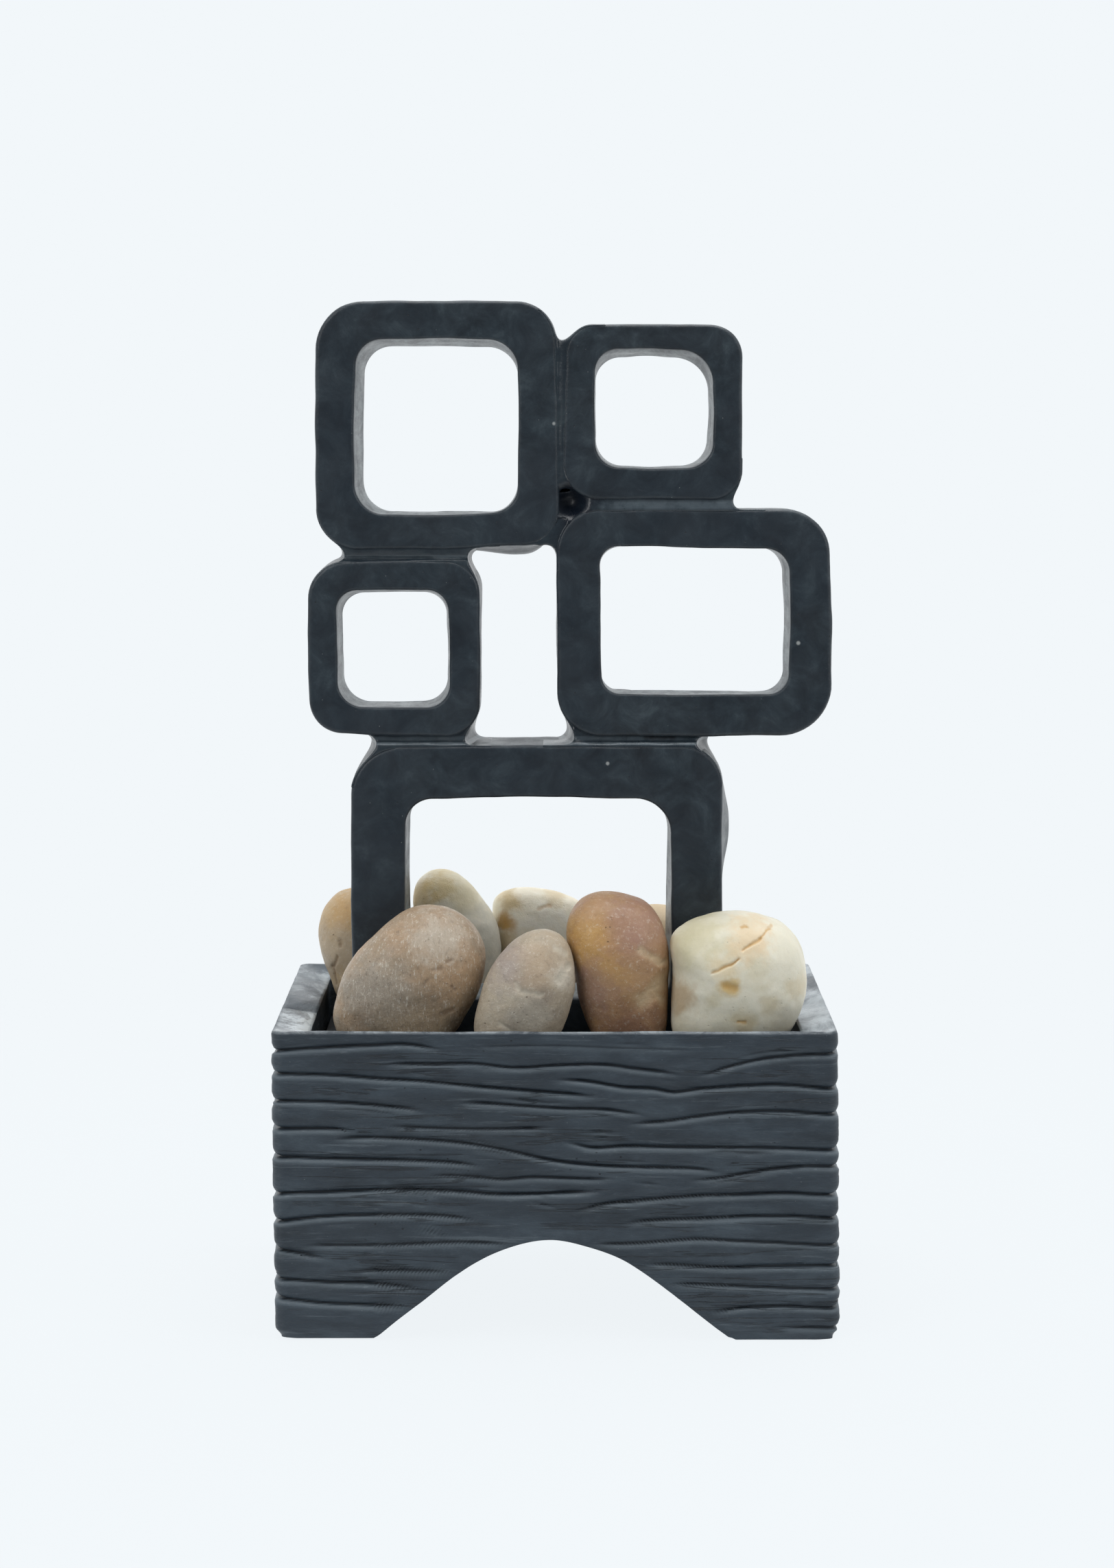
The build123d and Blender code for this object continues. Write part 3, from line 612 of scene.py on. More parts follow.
def basin_outside(place, outward, travel, arch, length):
    """Points of the gouged outside, and for each the painted shade of its crease, the painted highlight of
    its lip and the painted rim reflection along its top edge.
    """
    columns = len(place)
    rim = RIM - 0.25 + 0.22 * noise(np.c_[place, np.zeros(columns)], 14.0, 5, 2)
    height = arch + (rim - arch) * np.linspace(0, 1, BASIN_ROWS)[:, None]
    gouge, crease_shade, lip_highlight = gouged(np.tile(travel, BASIN_ROWS), height.ravel(), length)
    surface = np.c_[np.tile(place, (BASIN_ROWS, 1)), height.ravel()]
    broad = noise(surface, (34, 34, 5.0), 21, 3)
    fine = noise(surface, (5.0, 5.0, 1.3), 31, 3)
    on_side = ramp(np.abs(surface[:, 0]), HALF_WIDTH - 6, HALF_WIDTH - 2)
    depth = (0.35 * (1 - 0.8 * on_side) + 0.3 * broad * (1 - 0.6 * on_side) + 0.07 * fine
             + gouge * (1 + 0.4 * on_side))
    edge = ramp(surface[:, 2], RIM - 1.2, RIM + 0.2) * 0.5
    toe = ramp(-surface[:, 2], -FOOT - 2.6, -FOOT) * (0.5 + 1.1 * on_side)
    depth = np.maximum(depth, 0.02) + edge + toe
    surface[:, :2] -= np.tile(outward, (BASIN_ROWS, 1)) * depth[:, None]
    # the tub is not quite square: its flanks lean
    rise = np.clip(surface[:, 2] / RIM, 0, 1)
    lean = np.where(surface[:, 0] > 0, 1.3 * rise - 0.85, 0.4 * (1 - rise) ** 3)
    lean *= np.abs(surface[:, 0] / HALF_WIDTH) ** 8
    surface[:, 0] -= np.sign(surface[:, 0]) * lean
    # the last value is a painted reflection along the outer top edge
    return surface, crease_shade, lip_highlight, 0.7 * ramp(surface[:, 2], RIM - 1.0, RIM - 0.3)


def basin_inside(top, place, outward):
    """Rings of points: the rim slopes from the outer edge to the hollow, which goes down to its floor."""
    columns = len(place)
    inner = place * np.array([(HALF_WIDTH - WALL) / HALF_WIDTH, (HALF_DEPTH - WALL) / HALF_DEPTH])
    inner_height = RIM - RIM_FALL
    rings = []
    for t in np.linspace(0.1, 1, RIM_RINGS):
        ring = np.c_[top[:, :2] * (1 - t) + inner * t, top[:, 2] * (1 - t) + inner_height * t]
        swell = math.sin(math.pi * t)
        ring[:, 2] += 0.28 * noise(ring, (16, 8, 8), 41, 3) * swell + 0.12 * swell
        ring[:, 2] = np.minimum(ring[:, 2], RIM)
        rings.append(ring)
    for z, pull in ((inner_height - 0.7, 1), (inner_height - 3, 1), (TRAY_TOP + 1, 1), (FLOOR + 4, 1),
                    (FLOOR + 1.2, 0.985), (FLOOR, 0.94)):
        ring = np.c_[inner * pull, np.full(columns, z)]
        if z > FLOOR + 5:
            ring[:, :2] += 0.12 * noise(ring, 7.0, 47, 2)[:, None] * outward
        rings.append(ring)
    return rings


def build_basin():
    """The tub: gouged outside, an inward-sloping rim, a plain hollow and the arch through its foot."""
    place, outward, travel, side, length = perimeter_columns()
    columns = len(place)
    x = place[:, 0]
    under = (side % 2 == 0) & (x > ARCH[0][0]) & (x < ARCH[-1][0])
    arch = np.maximum(np.where(under, smooth_curve(ARCH, x), FOOT), FOOT)
    arch = np.where(x > ARCH[-1][0], RIGHT_FOOT, arch)
    surface, crease_shade, lip_highlight, painted_rim_sheen = basin_outside(place, outward, travel, arch, length)
    rings = basin_inside(surface[-columns:], place, outward)
    start = len(surface)
    last = start + (len(rings) - 1) * columns
    floor_centre = last + columns
    faces = grid_faces(BASIN_ROWS, columns, wrap_columns=True).tolist()
    faces += (grid_faces(len(rings) + 1, columns, wrap_columns=True) + start - columns).tolist()
    faces += [(last + i, last + (i + 1) % columns, floor_centre) for i in range(columns)]

    # underneath: the arch runs front to back, and each foot is flat
    front, back = ([i for i in range(columns) if side[i] == label and arch[i] > FOOT + 1e-6]
                   for label in (0, 2))
    front = [front[0] - 1] + front + [front[-1] + 1]
    back = [back[-1] + 1] + back[::-1] + [back[0] - 1]
    base, width = floor_centre + 1, len(front)
    tunnel, index = [], [front]
    for k in range(1, ARCH_SPANS):
        t = k / ARCH_SPANS
        line = surface[front] * (1 - t) + surface[back] * t
        line[:, 2] += 0.25 * noise(line, (9, 12, 9), 51, 2) * (line[:, 2] > FOOT + 1)
        tunnel.append(line)
        index.append(range(base + (k - 1) * width, base + k * width))
    index.append(back)
    faces += [(near[i], far[i], far[i + 1], near[i + 1]) for near, far in zip(index, index[1:])
              for i in range(width - 1)]
    left_line, right_line = [row[0] for row in index], [row[-1] for row in index]
    faces.append(tuple(list(range(front[-1], back[-1] + 1)) + right_line[::-1][1:-1]))
    faces.append(tuple(list(range(back[0], columns)) + list(range(front[0] + 1)) + left_line[1:-1]))

    # painted reflection on the rim top: palest on the left, with a painted shaded wedge across it
    wedge = 1.7 - 1.6 * ramp(place[:, 1], -19, -15) + 0.7 * ramp(place[:, 1], -8, 6)
    shine = np.where(x < -HALF_WIDTH + WALL, wedge, 0.9) * np.where(np.abs(x) < HALF_WIDTH - WALL, 0.5, 1.0)
    points = np.vstack([surface, *rings, [[0, 0, FLOOR]], *tunnel])
    values = []
    for label, numbers, on_rim in (("crease_shade", crease_shade, 0.0), ("lip_highlight", lip_highlight, 0.0), ("painted_rim_sheen", painted_rim_sheen, 1.0)):
        every = np.zeros(len(points))
        every[:start] = numbers
        every[start:start + RIM_RINGS * columns] = on_rim * np.tile(shine, RIM_RINGS)
        values.append((label, every))
    make_piece("basin_slate", points, faces, "base", ("basin",),
               MATERIALS["slate_resin"], values)


build_basin()

# ------------------------------------------------------------------ sculpture

FRAME_FRONT, FRAME_BACK = node_box("frame_upper_left")[0][1], node_box("frame_upper_left")[1][1]
# Corners run top left, top right, bottom right, bottom left as (x, height) at the front face, and radii
# follow them. Sides run top, right, bottom, left. "bow" pushes the middle of a side outwards. At the back
# the outside grows by "spread" and the window closes in by "draft". A lump is (x, y, height), radius, push.
FRAMES = {
    "frame_base": {
        "outer": [(-52.2, 144.1), (42.3, 144.0), (42.8, 67.0), (-52.1, 67.0)], "outer_r": (13.0, 10, 6, 6),
        "outer_bow": (0.2, 0.1, 0.0, 0.1), "spread": (0.0, 0.3, 0.0, 0.2),
        "window": [(-38.2, 130.5), (29.5, 130.5), (29.5, 79.0), (-38.0, 79.0)], "window_r": (6.5, 9, 5, 5),
        "window_bow": (0.5, 0.2, 0.0, 0.3), "draft": (0.8, 0.9, 0.4, 0.3),
        "lumps": [((43.0, 11.0, 122.0), 11.0, (2.5, 0, 0))]},
    "frame_lower_left": {
        "outer": [(-62.7, 190.8), (-19.1, 191.3), (-19.3, 146.3), (-62.4, 147.3)],
        "outer_r": (9.5, 8.5, 8.5, 8.5),
        "outer_bow": (0.3, 0.1, 0.2, 0.4), "spread": (0.3, 0.0, 0.3, 0.0),
        "window": [(-55.6, 183.7), (-27.0, 183.8), (-26.8, 153.8), (-55.1, 153.8)],
        "window_r": (5.5, 5.5, 6, 6.5),
        "window_bow": (0.1, 0.2, 0.1, 0.1), "draft": (2.0, 1.2, -0.3, 0.3), "lumps": []},
    "frame_lower_right": {
        "outer": [(0.2, 204.2), (69.0, 204.0), (70.2, 146.7), (0.7, 146.4)], "outer_r": (10.5, 11.5, 13, 11),
        "outer_bow": (0.1, 0.4, 0.1, 0.1), "spread": (-0.6, 0.6, 0.3, 0.0),
        "window": [(11.1, 194.8), (59.1, 194.0), (59.2, 157.2), (11.8, 157.3)], "window_r": (5, 6, 5.5, 4.5),
        "window_bow": (0.1, 0.3, 0.1, 0.0), "draft": (0.8, 0.5, -0.9, 0.0),
        "lumps": [((70.0, 8.0, 169.0), 13.0, (0.8, 0, 0))]},
    "frame_upper_left": {
        "outer": [(-60.3, 256.1), (0.1, 256.0), (1.0, 195.2), (-60.4, 193.6)], "outer_r": (12, 10, 9, 10.5),
        "outer_bow": (0.2, 0.2, 0.4, 0.2), "spread": (0.1, 0.0, 1.5, 0.0),
        "window": [(-50.2, 246.6), (-9.3, 246.6), (-9.6, 203.1), (-50.9, 202.8)],
        "window_r": (6.5, 7.5, 7, 7.5),
        "window_bow": (0.1, 0.3, 0.3, 0.2), "draft": (1.9, 0.1, 0.0, 1.5),
        "lumps": [((-9.0, 10.0, 193.5), 9.0, (0, 0, -1.8))]},
    "frame_upper_right": {
        "outer": [(2.9, 250.25), (46.8, 250.15), (47.0, 206.4), (1.2, 206.5)], "outer_r": (7, 8, 7.5, 9.5),
        "outer_bow": (0.2, 0.1, 0.0, 0.0), "spread": (0.0, 0.0, 0.0, 0.0),
        "window": [(10.1, 244.4), (39.8, 243.9), (39.5, 214.5), (9.8, 214.5)], "window_r": (6, 8.5, 6.5, 6.5),
        "window_bow": (0.3, 0.3, 0.2, 0.1), "draft": (2.1, 0.6, 0.0, 0.4), "lumps": []},
}
ARC_STEPS, SIDE_STEPS = 14, 38
FRONT_ROUND, WINDOW_ROUND, BACK_ROUND = 1.1, 0.8, 1.6     # edge radii of a frame's section


def outline(corners, radii, bows):
    """A closed outline through four rounded corners, clockwise, whose sides bow out a little."""
    corners = np.array(corners, float)
    arcs = []
    for k, radius in enumerate(radii):
        to_last = corners[k - 1] - corners[k]
        to_next = corners[(k + 1) % 4] - corners[k]
        to_last /= np.linalg.norm(to_last)
        to_next /= np.linalg.norm(to_next)
        half = math.acos(float(to_last @ to_next)) / 2
        middle = to_last + to_next
        centre = corners[k] + middle / np.linalg.norm(middle) * radius / math.sin(half)
        start = corners[k] + to_last * radius / math.tan(half) - centre
        turn = -np.linspace(0, math.pi - 2 * half, ARC_STEPS)
        arcs.append(centre + np.c_[start[0] * np.cos(turn) - start[1] * np.sin(turn),
                                   start[0] * np.sin(turn) + start[1] * np.cos(turn)])
    points = []
    for k, bow in enumerate(bows):
        begin, end = arcs[k][-1], arcs[(k + 1) % 4][0]
        along = (end - begin) / np.linalg.norm(end - begin)
        t = np.linspace(0, 1, SIDE_STEPS + 2)[1:-1, None]
        swell = bow * (4 * t * (1 - t)) ** 2
        points += [arcs[k], begin * (1 - t) + end * t + swell * np.array([[-along[1], along[0]]])]
    return np.vstack(points)


def moved_corners(corners, sides):
    """Corners after each side (top, right, bottom, left) has moved outwards by a distance."""
    top, right, bottom, left = sides
    shift = np.array([(-left, top), (right, top), (right, -bottom), (-left, -bottom)])
    return np.array(corners, float) + shift


def frame_outlines(name, depth_share):
    """Outer and window outlines of a frame, from 0 at the front face to 1 at the back."""
    spec = FRAMES[name]
    spread = depth_share * np.array(spec["spread"])
    draft = depth_share * np.array(spec["draft"])
    outer = outline(moved_corners(spec["outer"], spread), spec["outer_r"], spec["outer_bow"])
    window_r = np.array(spec["window_r"]) + 0.4 * depth_share
    window = outline(moved_corners(spec["window"], -draft), window_r, spec["window_bow"])
    return outer, window


def frame_section():
    """Points round a frame's section: depth, then how far in from the outside and from the window.

    On the front and back faces both distances are None and the third number runs from 0 outside to 1 inside.
    """
    front, back = FRAME_FRONT, FRAME_BACK

    def edge(face, inward, radius, angles):
        """Depths along a rounded edge from its face, and how far each lies in from the side."""
        return [(face + inward * radius * (1 - math.sin(a)), radius * (1 - math.cos(a))) for a in angles]

    quarter = np.radians(np.linspace(0, 90, 6))
    section = [(y, aside, None, 0) for y, aside in edge(front, 1, FRONT_ROUND, quarter)]
    section += [(front, None, None, share) for share in np.linspace(0, 1, 11)[1:-1]]
    section += [(y, None, aside, 1) for y, aside in edge(front, 1, WINDOW_ROUND, quarter[::-1])]
    section += [(y, None, 0.0, 1) for y in np.linspace(front + WINDOW_ROUND, back - BACK_ROUND, 14)[1:-1]]
    section += [(y, None, aside, 1) for y, aside in edge(back, -1, BACK_ROUND, quarter)]
    section += [(back, None, None, share) for share in np.linspace(1, 0, 7)[1:-1]]
    section += [(y, aside, None, 0) for y, aside in edge(back, -1, BACK_ROUND, quarter[::-1])]
    section += [(y, 0.0, None, 0) for y in np.linspace(back - BACK_ROUND, front + FRONT_ROUND, 14)[1:-1]]
    return section


def build_frame(name, seed):
    """One cast frame: its section swept round, drafted, uneven as a hand-finished casting is."""
    rows, wall_sheen_rows = [], []
    for y, from_outer, from_window, share in frame_section():
        outer, window = frame_outlines(name, (y - FRAME_FRONT) / (FRAME_BACK - FRAME_FRONT))
        across = window - outer
        width = np.linalg.norm(across, axis=1, keepdims=True)
        across = across / width
        if from_outer is not None:
            place = outer + across * from_outer
        elif from_window is not None:
            place = window - across * from_window
        else:
            edges = (FRONT_ROUND, WINDOW_ROUND) if y == FRAME_FRONT else (BACK_ROUND, BACK_ROUND)
            place = outer + across * (edges[0] + share * (width - sum(edges)))
        rows.append(np.c_[place[:, 0], np.full(len(place), y), place[:, 1]])
        # painted reflection mask: full on the window walls, fainter on the outer walls, none on the faces
        on_window = 1.0 if from_outer is None else 0.35
        wall_sheen_rows.append(np.full(len(place), on_window * ramp(y, FRAME_FRONT + 1.2, FRAME_FRONT + 3.0)
                             * ramp(-y, -FRAME_BACK, -FRAME_BACK + 0.6)))
    points = np.vstack(rows)
    for centre, radius, push in FRAMES[name]["lumps"]:
        near = np.exp(-np.sum((points - centre) ** 2, axis=1) / radius ** 2)
        points += near[:, None] * np.array(push)
    wobble = np.stack([noise(points, 13.0, seed + 10 * k, 3) for k in range(3)], 1)
    points += wobble * (0.2, 0.14, 0.2)
    hollows = noise(points, 5.0, seed + 5, 2) + 0.5 * noise(points, 2.2, seed + 7, 2)
    on_front = ramp(-points[:, 1], -FRAME_FRONT - 1.0, -FRAME_FRONT)
    points[:, 1] += 0.06 * hollows * on_front
    points[:, 1] = np.clip(points[:, 1], FRAME_FRONT - 0.35, FRAME_BACK + 0.4)
    points[:, 0] = np.minimum(points[:, 0], WIDEST)
    points[:, 2] = np.minimum(points[:, 2], TALLEST)
    faces = grid_faces(len(rows), len(outer), wrap_rows=True, wrap_columns=True)
    make_piece(name.replace("frame", "cast_frame"), points, faces, "sculpture", (name,),
               MATERIALS["sculpture_resin"], [("wall_sheen", np.concatenate(wall_sheen_rows))])


def outline_distance(polygon, x, z):
    """Signed distance from points to a closed outline, negative inside it."""
    best = np.full(x.shape, 1e9)
    inside = np.zeros(x.shape, bool)
    for (ax, az), (bx, bz) in zip(polygon, np.roll(polygon, -1, 0)):
        dx, dz = bx - ax, bz - az
        t = np.clip(((x - ax) * dx + (z - az) * dz) / (dx * dx + dz * dz + 1e-12), 0, 1)
        best = np.minimum(best, (x - ax - t * dx) ** 2 + (z - az - t * dz) ** 2)
        if az != bz:
            inside ^= ((az > z) != (bz > z)) & (x < dx * (z - az) / dz + ax)
    return np.where(inside, -1, 1) * np.sqrt(best)


# Each joint: the frames it joins, its core (left, right, bottom, top), the softness of its fillets at the
# front and at the back, whether its face is read along x or z, and the face as (place, how far back it lies).
LEDGE = [(143.4, 0.05), (144.3, 0.25), (144.9, 0.9), (145.1, 1.6), (146.0, 1.6), (147.5, 1.9)]
WEBS = {
    "web_base_left": {"pair": ("frame_base", "frame_lower_left"), "core": (-45.0, -24.5, 142.0, 149.0),
                      "soft": (4.0, 7.0), "along": 2, "face": LEDGE},
    "web_base_right": {"pair": ("frame_base", "frame_lower_right"), "core": (5.5, 35.0, 142.0, 149.0),
                       "soft": (3.2, 7.0), "along": 2, "face": LEDGE},
    "web_left_side": {"pair": ("frame_lower_left", "frame_upper_left"), "core": (-52.8, -22.6, 189.0, 196.0),
                      "soft": (3.4, 4.0), "along": 2,
                      "face": [(190.4, 0.1), (191.3, 0.5), (191.7, 1.6), (192.1, 1.1), (193.0, 0.8),
                               (194.4, 0.5)]},
    "web_top": {"pair": ("frame_upper_left", "frame_upper_right"), "core": (-1.0, 4.0, 209.5, 245.9),
                "soft": (2.6, 3.0), "along": 0,
                "face": [(0.1, 0.0), (0.9, 0.45), (1.5, 0.1), (2.2, 0.0)]},
    "web_right_side": {"pair": ("frame_upper_right", "frame_lower_right"), "core": (-0.2, 44.6, 202.0, 208.5),
                       "soft": (2.6, 3.0), "along": 2,
                       "face": [(203.2, 0.0), (204.2, 0.05), (205.2, 0.2), (206.0, 0.4), (206.6, 0.6)]},
    "web_centre": {"pair": ("frame_upper_left", "frame_lower_right"), "core": (-3.0, 3.0, 196.0, 201.0),
                   "soft": (4.0, 5.0), "along": 0,
                   "face": [(-2.0, 0.2), (0.8, 0.5), (2.5, 0.3)]},
}
WEB_CELL = 0.45
WEB_REACH = 9.0                   # how far past its core a joint may spread
WEB_BITE = 0.7                    # how far a joint reaches inside the frames it joins
WEB_BACK = 1.0                    # how far a joint stays in from the back face
PIT_RADIUS, PIT_DEPTH = 5.6, 4.0


def smooth_union(first, second, soft):
    """Distance to two shapes run together with a fillet."""
    blend = np.clip(0.5 + 0.5 * (second - first) / soft, 0, 1)
    return second * (1 - blend) + first * blend - soft * blend * (1 - blend)


def build_web(name):
    """The resin between two frames: a core run smoothly into both, less the frames themselves."""
    web = WEBS[name]
    left, right, bottom, top = web["core"]
    x = np.arange(left - WEB_REACH, right + WEB_REACH, WEB_CELL)
    y = np.arange(FRAME_FRONT - 1, FRAME_BACK + 1, WEB_CELL)
    z = np.arange(bottom - WEB_REACH, top + WEB_REACH, WEB_CELL)
    cube_x, cube_y, cube_z = np.meshgrid(x, y, z, indexing="ij")
    depth = np.clip((cube_y - FRAME_FRONT) / (FRAME_BACK - FRAME_FRONT), 0, 1)
    solids = []
    for frame_name in web["pair"]:
        ends = [outline_distance(frame_outlines(frame_name, share)[0], cube_x[:, 0], cube_z[:, 0])[:, None]
                for share in (0, 1)]
        solids.append(ends[0] * (1 - depth) + ends[1] * depth)
    first, second = solids
    soft = web["soft"][0] * (1 - depth) + web["soft"][1] * depth
    core = np.maximum(np.abs(cube_x - (left + right) / 2) - (right - left) / 2,
                      np.abs(cube_z - (bottom + top) / 2) - (top - bottom) / 2)
    union = smooth_union(smooth_union(core, first, soft), second, soft)
    flat_points = np.stack([cube_x, cube_y, cube_z], -1).reshape(-1, 3)
    union = union + 0.2 * noise(flat_points, 9.0, 61, 2).reshape(union.shape)
    stations, recess = np.array(web["face"], float).T
    uneven = noise(flat_points, (7.0, 9.0, 3.0), 67, 2).reshape(union.shape)
    along = (cube_x, cube_y, cube_z)[web["along"]]
    face = np.interp(along + 0.2 * uneven, stations, recess) * (1 + 0.25 * uneven)
    pit = PIT_DEPTH * ramp(-np.hypot(cube_x - PIT[0], cube_z - PIT[1]), -PIT_RADIUS, -0.5)
    front = FRAME_FRONT + face + pit - cube_y
    rear = cube_y - FRAME_BACK + WEB_BACK
    shape = np.maximum.reduce([union, front, rear, -(first + WEB_BITE), -(second + WEB_BITE)])
    edge = np.zeros_like(shape, bool)
    edge[[0, -1]] = edge[:, [0, -1]] = edge[:, :, [0, -1]] = True
    shape[edge] = np.maximum(shape[edge], 0.5 * WEB_CELL)
    grid = vdb.FloatGrid(3.0)
    grid.copyFromArray(np.clip(shape, -3, 3).astype(np.float32))
    points, quads = grid.convertToQuads(isovalue=0.0)
    points = points * WEB_CELL + (x[0], y[0], z[0])
    make_piece(name.replace("web", "joint"), points, quads[:, ::-1], "sculpture", (name,),
               MATERIALS["bond_resin"])


for seed, frame_name in enumerate(FRAMES):
    build_frame(frame_name, 100 + 7 * seed)
for web_name in WEBS:
    build_web(web_name)

# ------------------------------------------------------------------ pebbles

# each pebble: outline seen from the front as (x, height), lean of its top to the back, fullness (2 is
# elliptical), unevenness in mm, facets per cube edge, and marks cut into its front as
# (x, height, x, height, half width, depth)
PEBBLES = {
    "pebble_front_left": dict(
        lean=0.08, full=2.2, uneven=0.45, cells=96,
        outline=[(-56.2, 76), (-55.4, 82), (-53.2, 88.5), (-50.2, 93), (-45.8, 97.4), (-41.2, 101.5),
                 (-36.7, 104.2), (-32.4, 105), (-27.8, 104.4), (-22.9, 102), (-19, 97.6), (-17.5, 92.6),
                 (-17.9, 87.6), (-19.3, 83.1), (-21.8, 78.4), (-25.4, 72.8), (-31.5, 67.6), (-44, 66.7),
                 (-53, 69.6)],
        marks=[(-30.5, 90.6, -28.5, 91.2, 0.5, 0.2), (-27, 92.2, -25.2, 92.8, 0.45, 0.2),
               (-33, 87.2, -32.6, 87.6, 0.4, 0.3), (-28.4, 79.2, -26, 80.2, 0.7, 0.2),
               (-18.8, 86, -18.6, 88, 0.6, 0.2), (-26, 86.4, -25.2, 85.4, 0.4, 0.2)]),
    "pebble_front_centre": dict(
        lean=0.1, full=2.2, uneven=0.45, cells=76,
        outline=[(-20.5, 75), (-19.3, 82.4), (-17.1, 89), (-13, 95), (-9, 98.4), (-5.1, 100), (-1.2, 100),
                 (1.8, 98.4), (3.9, 95), (4.9, 90), (4.6, 84), (3.1, 78.4), (-0.2, 72), (-6, 67.4),
                 (-13, 66.8), (-19.4, 69.0)],
        marks=[(2.7, 92.3, 2.9, 91.7, 0.5, 0.45), (-10.4, 87.6, -8.6, 86.2, 0.4, 0.3),
               (-8.6, 86.2, -3.4, 85.6, 0.45, 0.35), (-14, 77.6, -9.4, 75.6, 0.6, 0.3),
               (0.8, 88.8, 1.6, 90.6, 0.8, 0.2), (-0.6, 97, 2.4, 94.6, 0.5, 0.2)]),
    "pebble_front_mid": dict(
        lean=0.1, full=2.5, uneven=0.55, cells=84,
        outline=[(8.4, 74), (5.6, 82), (4.1, 90), (2.9, 95), (2.7, 99), (3.9, 103.5), (6.3, 106.4),
                 (9.7, 107.9), (14.1, 108.2), (19.1, 107.2), (23.8, 105), (26.2, 102), (27.9, 97.5),
                 (28.9, 92), (28.7, 86), (28.4, 80), (28.0, 74), (26.2, 69), (18, 66.8), (12, 68.4)],
        marks=[(21.4, 95.4, 27.2, 91.6, 0.85, 0.4), (21.4, 82.4, 27.2, 86.6, 1.7, 0.35),
               (24.6, 84.6, 27.2, 82.0, 1.2, 0.25)]),
    "pebble_front_right": dict(
        lean=0.12, full=2.35, uneven=0.5, cells=96,
        outline=[(29.1, 80), (29.2, 90), (29.3, 97.9), (33.2, 100.9), (40.2, 103.1), (45.8, 103.7),
                 (51.5, 102.9), (57.6, 100.7), (61, 96.9), (62.9, 91.6), (63.4, 85.5), (62.5, 81),
                 (60.6, 76.8), (57, 71.5), (50, 67.6), (40, 66.9), (31.4, 69.0), (29.3, 74)],
        marks=[(38.6, 90.4, 45.2, 93.8, 0.33, 0.6), (46.6, 95.8, 50.6, 98.7, 0.33, 0.5),
               (50.6, 98.7, 53.8, 101.2, 0.25, 0.2), (42.6, 87.4, 43.9, 87.1, 0.95, 0.75),
               (46.6, 100.9, 48, 100.9, 0.3, 0.3), (45.4, 78, 47.2, 77.8, 0.4, 0.25)]),
    "pebble_back_left": dict(
        lean=-0.06, full=2.1, uneven=0.4, cells=60,
        outline=[(-50.5, 102.7), (-54.5, 102.4), (-58.1, 101), (-61.3, 97.4), (-62.9, 92.7), (-62.9, 87.9),
                 (-61.7, 82.6), (-60, 78), (-57, 71), (-52, 67), (-46, 67), (-41.7, 72), (-39.7, 80),
                 (-40.2, 90), (-43.5, 98.5)],
        marks=[(-57.8, 85.6, -58.9, 82, 0.4, 0.3), (-58.9, 82, -58.2, 78, 0.4, 0.3),
               (-56.6, 90, -56.2, 88.4, 0.5, 0.3)]),
    "pebble_back_tall": dict(
        lean=0.0, full=2.2, uneven=0.35, cells=56,
        outline=[(-37.7, 101), (-36.9, 103.9), (-34.5, 106.6), (-31.4, 107.7), (-27.8, 107.4), (-24.1, 105.2),
                 (-20.5, 101.2), (-17.4, 97), (-15.4, 93), (-14.5, 88), (-14.8, 81.5), (-16.8, 74),
                 (-21, 67.8), (-27, 67), (-31.5, 71.5), (-34.4, 80), (-36.4, 90), (-37.6, 96.5)],
        marks=[]),
    "pebble_back_centre": dict(
        lean=0.0, full=2.4, uneven=0.35, cells=56,
        outline=[(-16.9, 94), (-16.4, 98), (-14.6, 100), (-11.8, 101.1), (-7.6, 101.5), (-2.3, 100.9),
                 (2.4, 99.6), (6.3, 97.8), (9.2, 94), (9.6, 87), (7.8, 78), (3, 69.6), (-4, 67), (-11, 69),
                 (-15, 77), (-16.5, 86)],
        marks=[(-13.4, 93.4, -13.1, 92.2, 0.8, 0.2), (-4.4, 96.5, -1.6, 97.4, 0.35, 0.15)]),
    "pebble_back_right": dict(
        lean=0.0, full=2.2, uneven=0.35, cells=40,
        outline=[(13.4, 82), (15.6, 90.5), (20, 95.7), (25.4, 97.5), (30.2, 97.3), (35.2, 94.8), (38.4, 88),
                 (38.4, 79), (34, 70.4), (26, 67), (18, 70)],
        marks=[]),
    "pebble_back_corner": dict(
        lean=0.0, full=2.2, uneven=0.35, cells=36,
        outline=[(42.2, 80), (44.5, 87), (49, 90.8), (54, 90.3), (58, 86), (59.2, 79), (57, 71.8), (51, 67.2),
                 (45, 69.8)],
        marks=[]),
}


def cube_sphere(cells):
    """Directions and quads of a cube's faces pushed out to a sphere, with shared edges merged."""
    t = np.tan(np.linspace(-math.pi / 4, math.pi / 4, cells + 1))
    u, v = np.meshgrid(t, t, indexing="ij")
    ones = np.ones_like(u)
    sides = [(ones, u, v), (-ones, v, u), (v, ones, u), (u, -ones, v), (u, v, ones), (v, u, -ones)]
    points = np.vstack([np.stack(side, -1).reshape(-1, 3) for side in sides])
    points /= np.linalg.norm(points, axis=1, keepdims=True)
    quads = np.vstack([grid_faces(cells + 1, cells + 1) + k * (cells + 1) ** 2 for k in range(6)])
    _, first, index = np.unique(np.round(points, 6), axis=0, return_index=True, return_inverse=True)
    return points[first], index.reshape(-1)[quads]


def closed_radius(outline_points, centre, angle):
    """Radius of a smooth closed curve through the points, at each angle about the centre."""
    offset = np.array(outline_points, float) - centre
    bearing = np.arctan2(offset[:, 1], offset[:, 0])
    order = np.argsort(bearing)
    bearing, radius = bearing[order], np.linalg.norm(offset, axis=1)[order]
    turns = np.concatenate([bearing - 2 * math.pi, bearing, bearing + 2 * math.pi])
    return smooth_curve(np.c_[turns, np.tile(radius, 3)], angle)


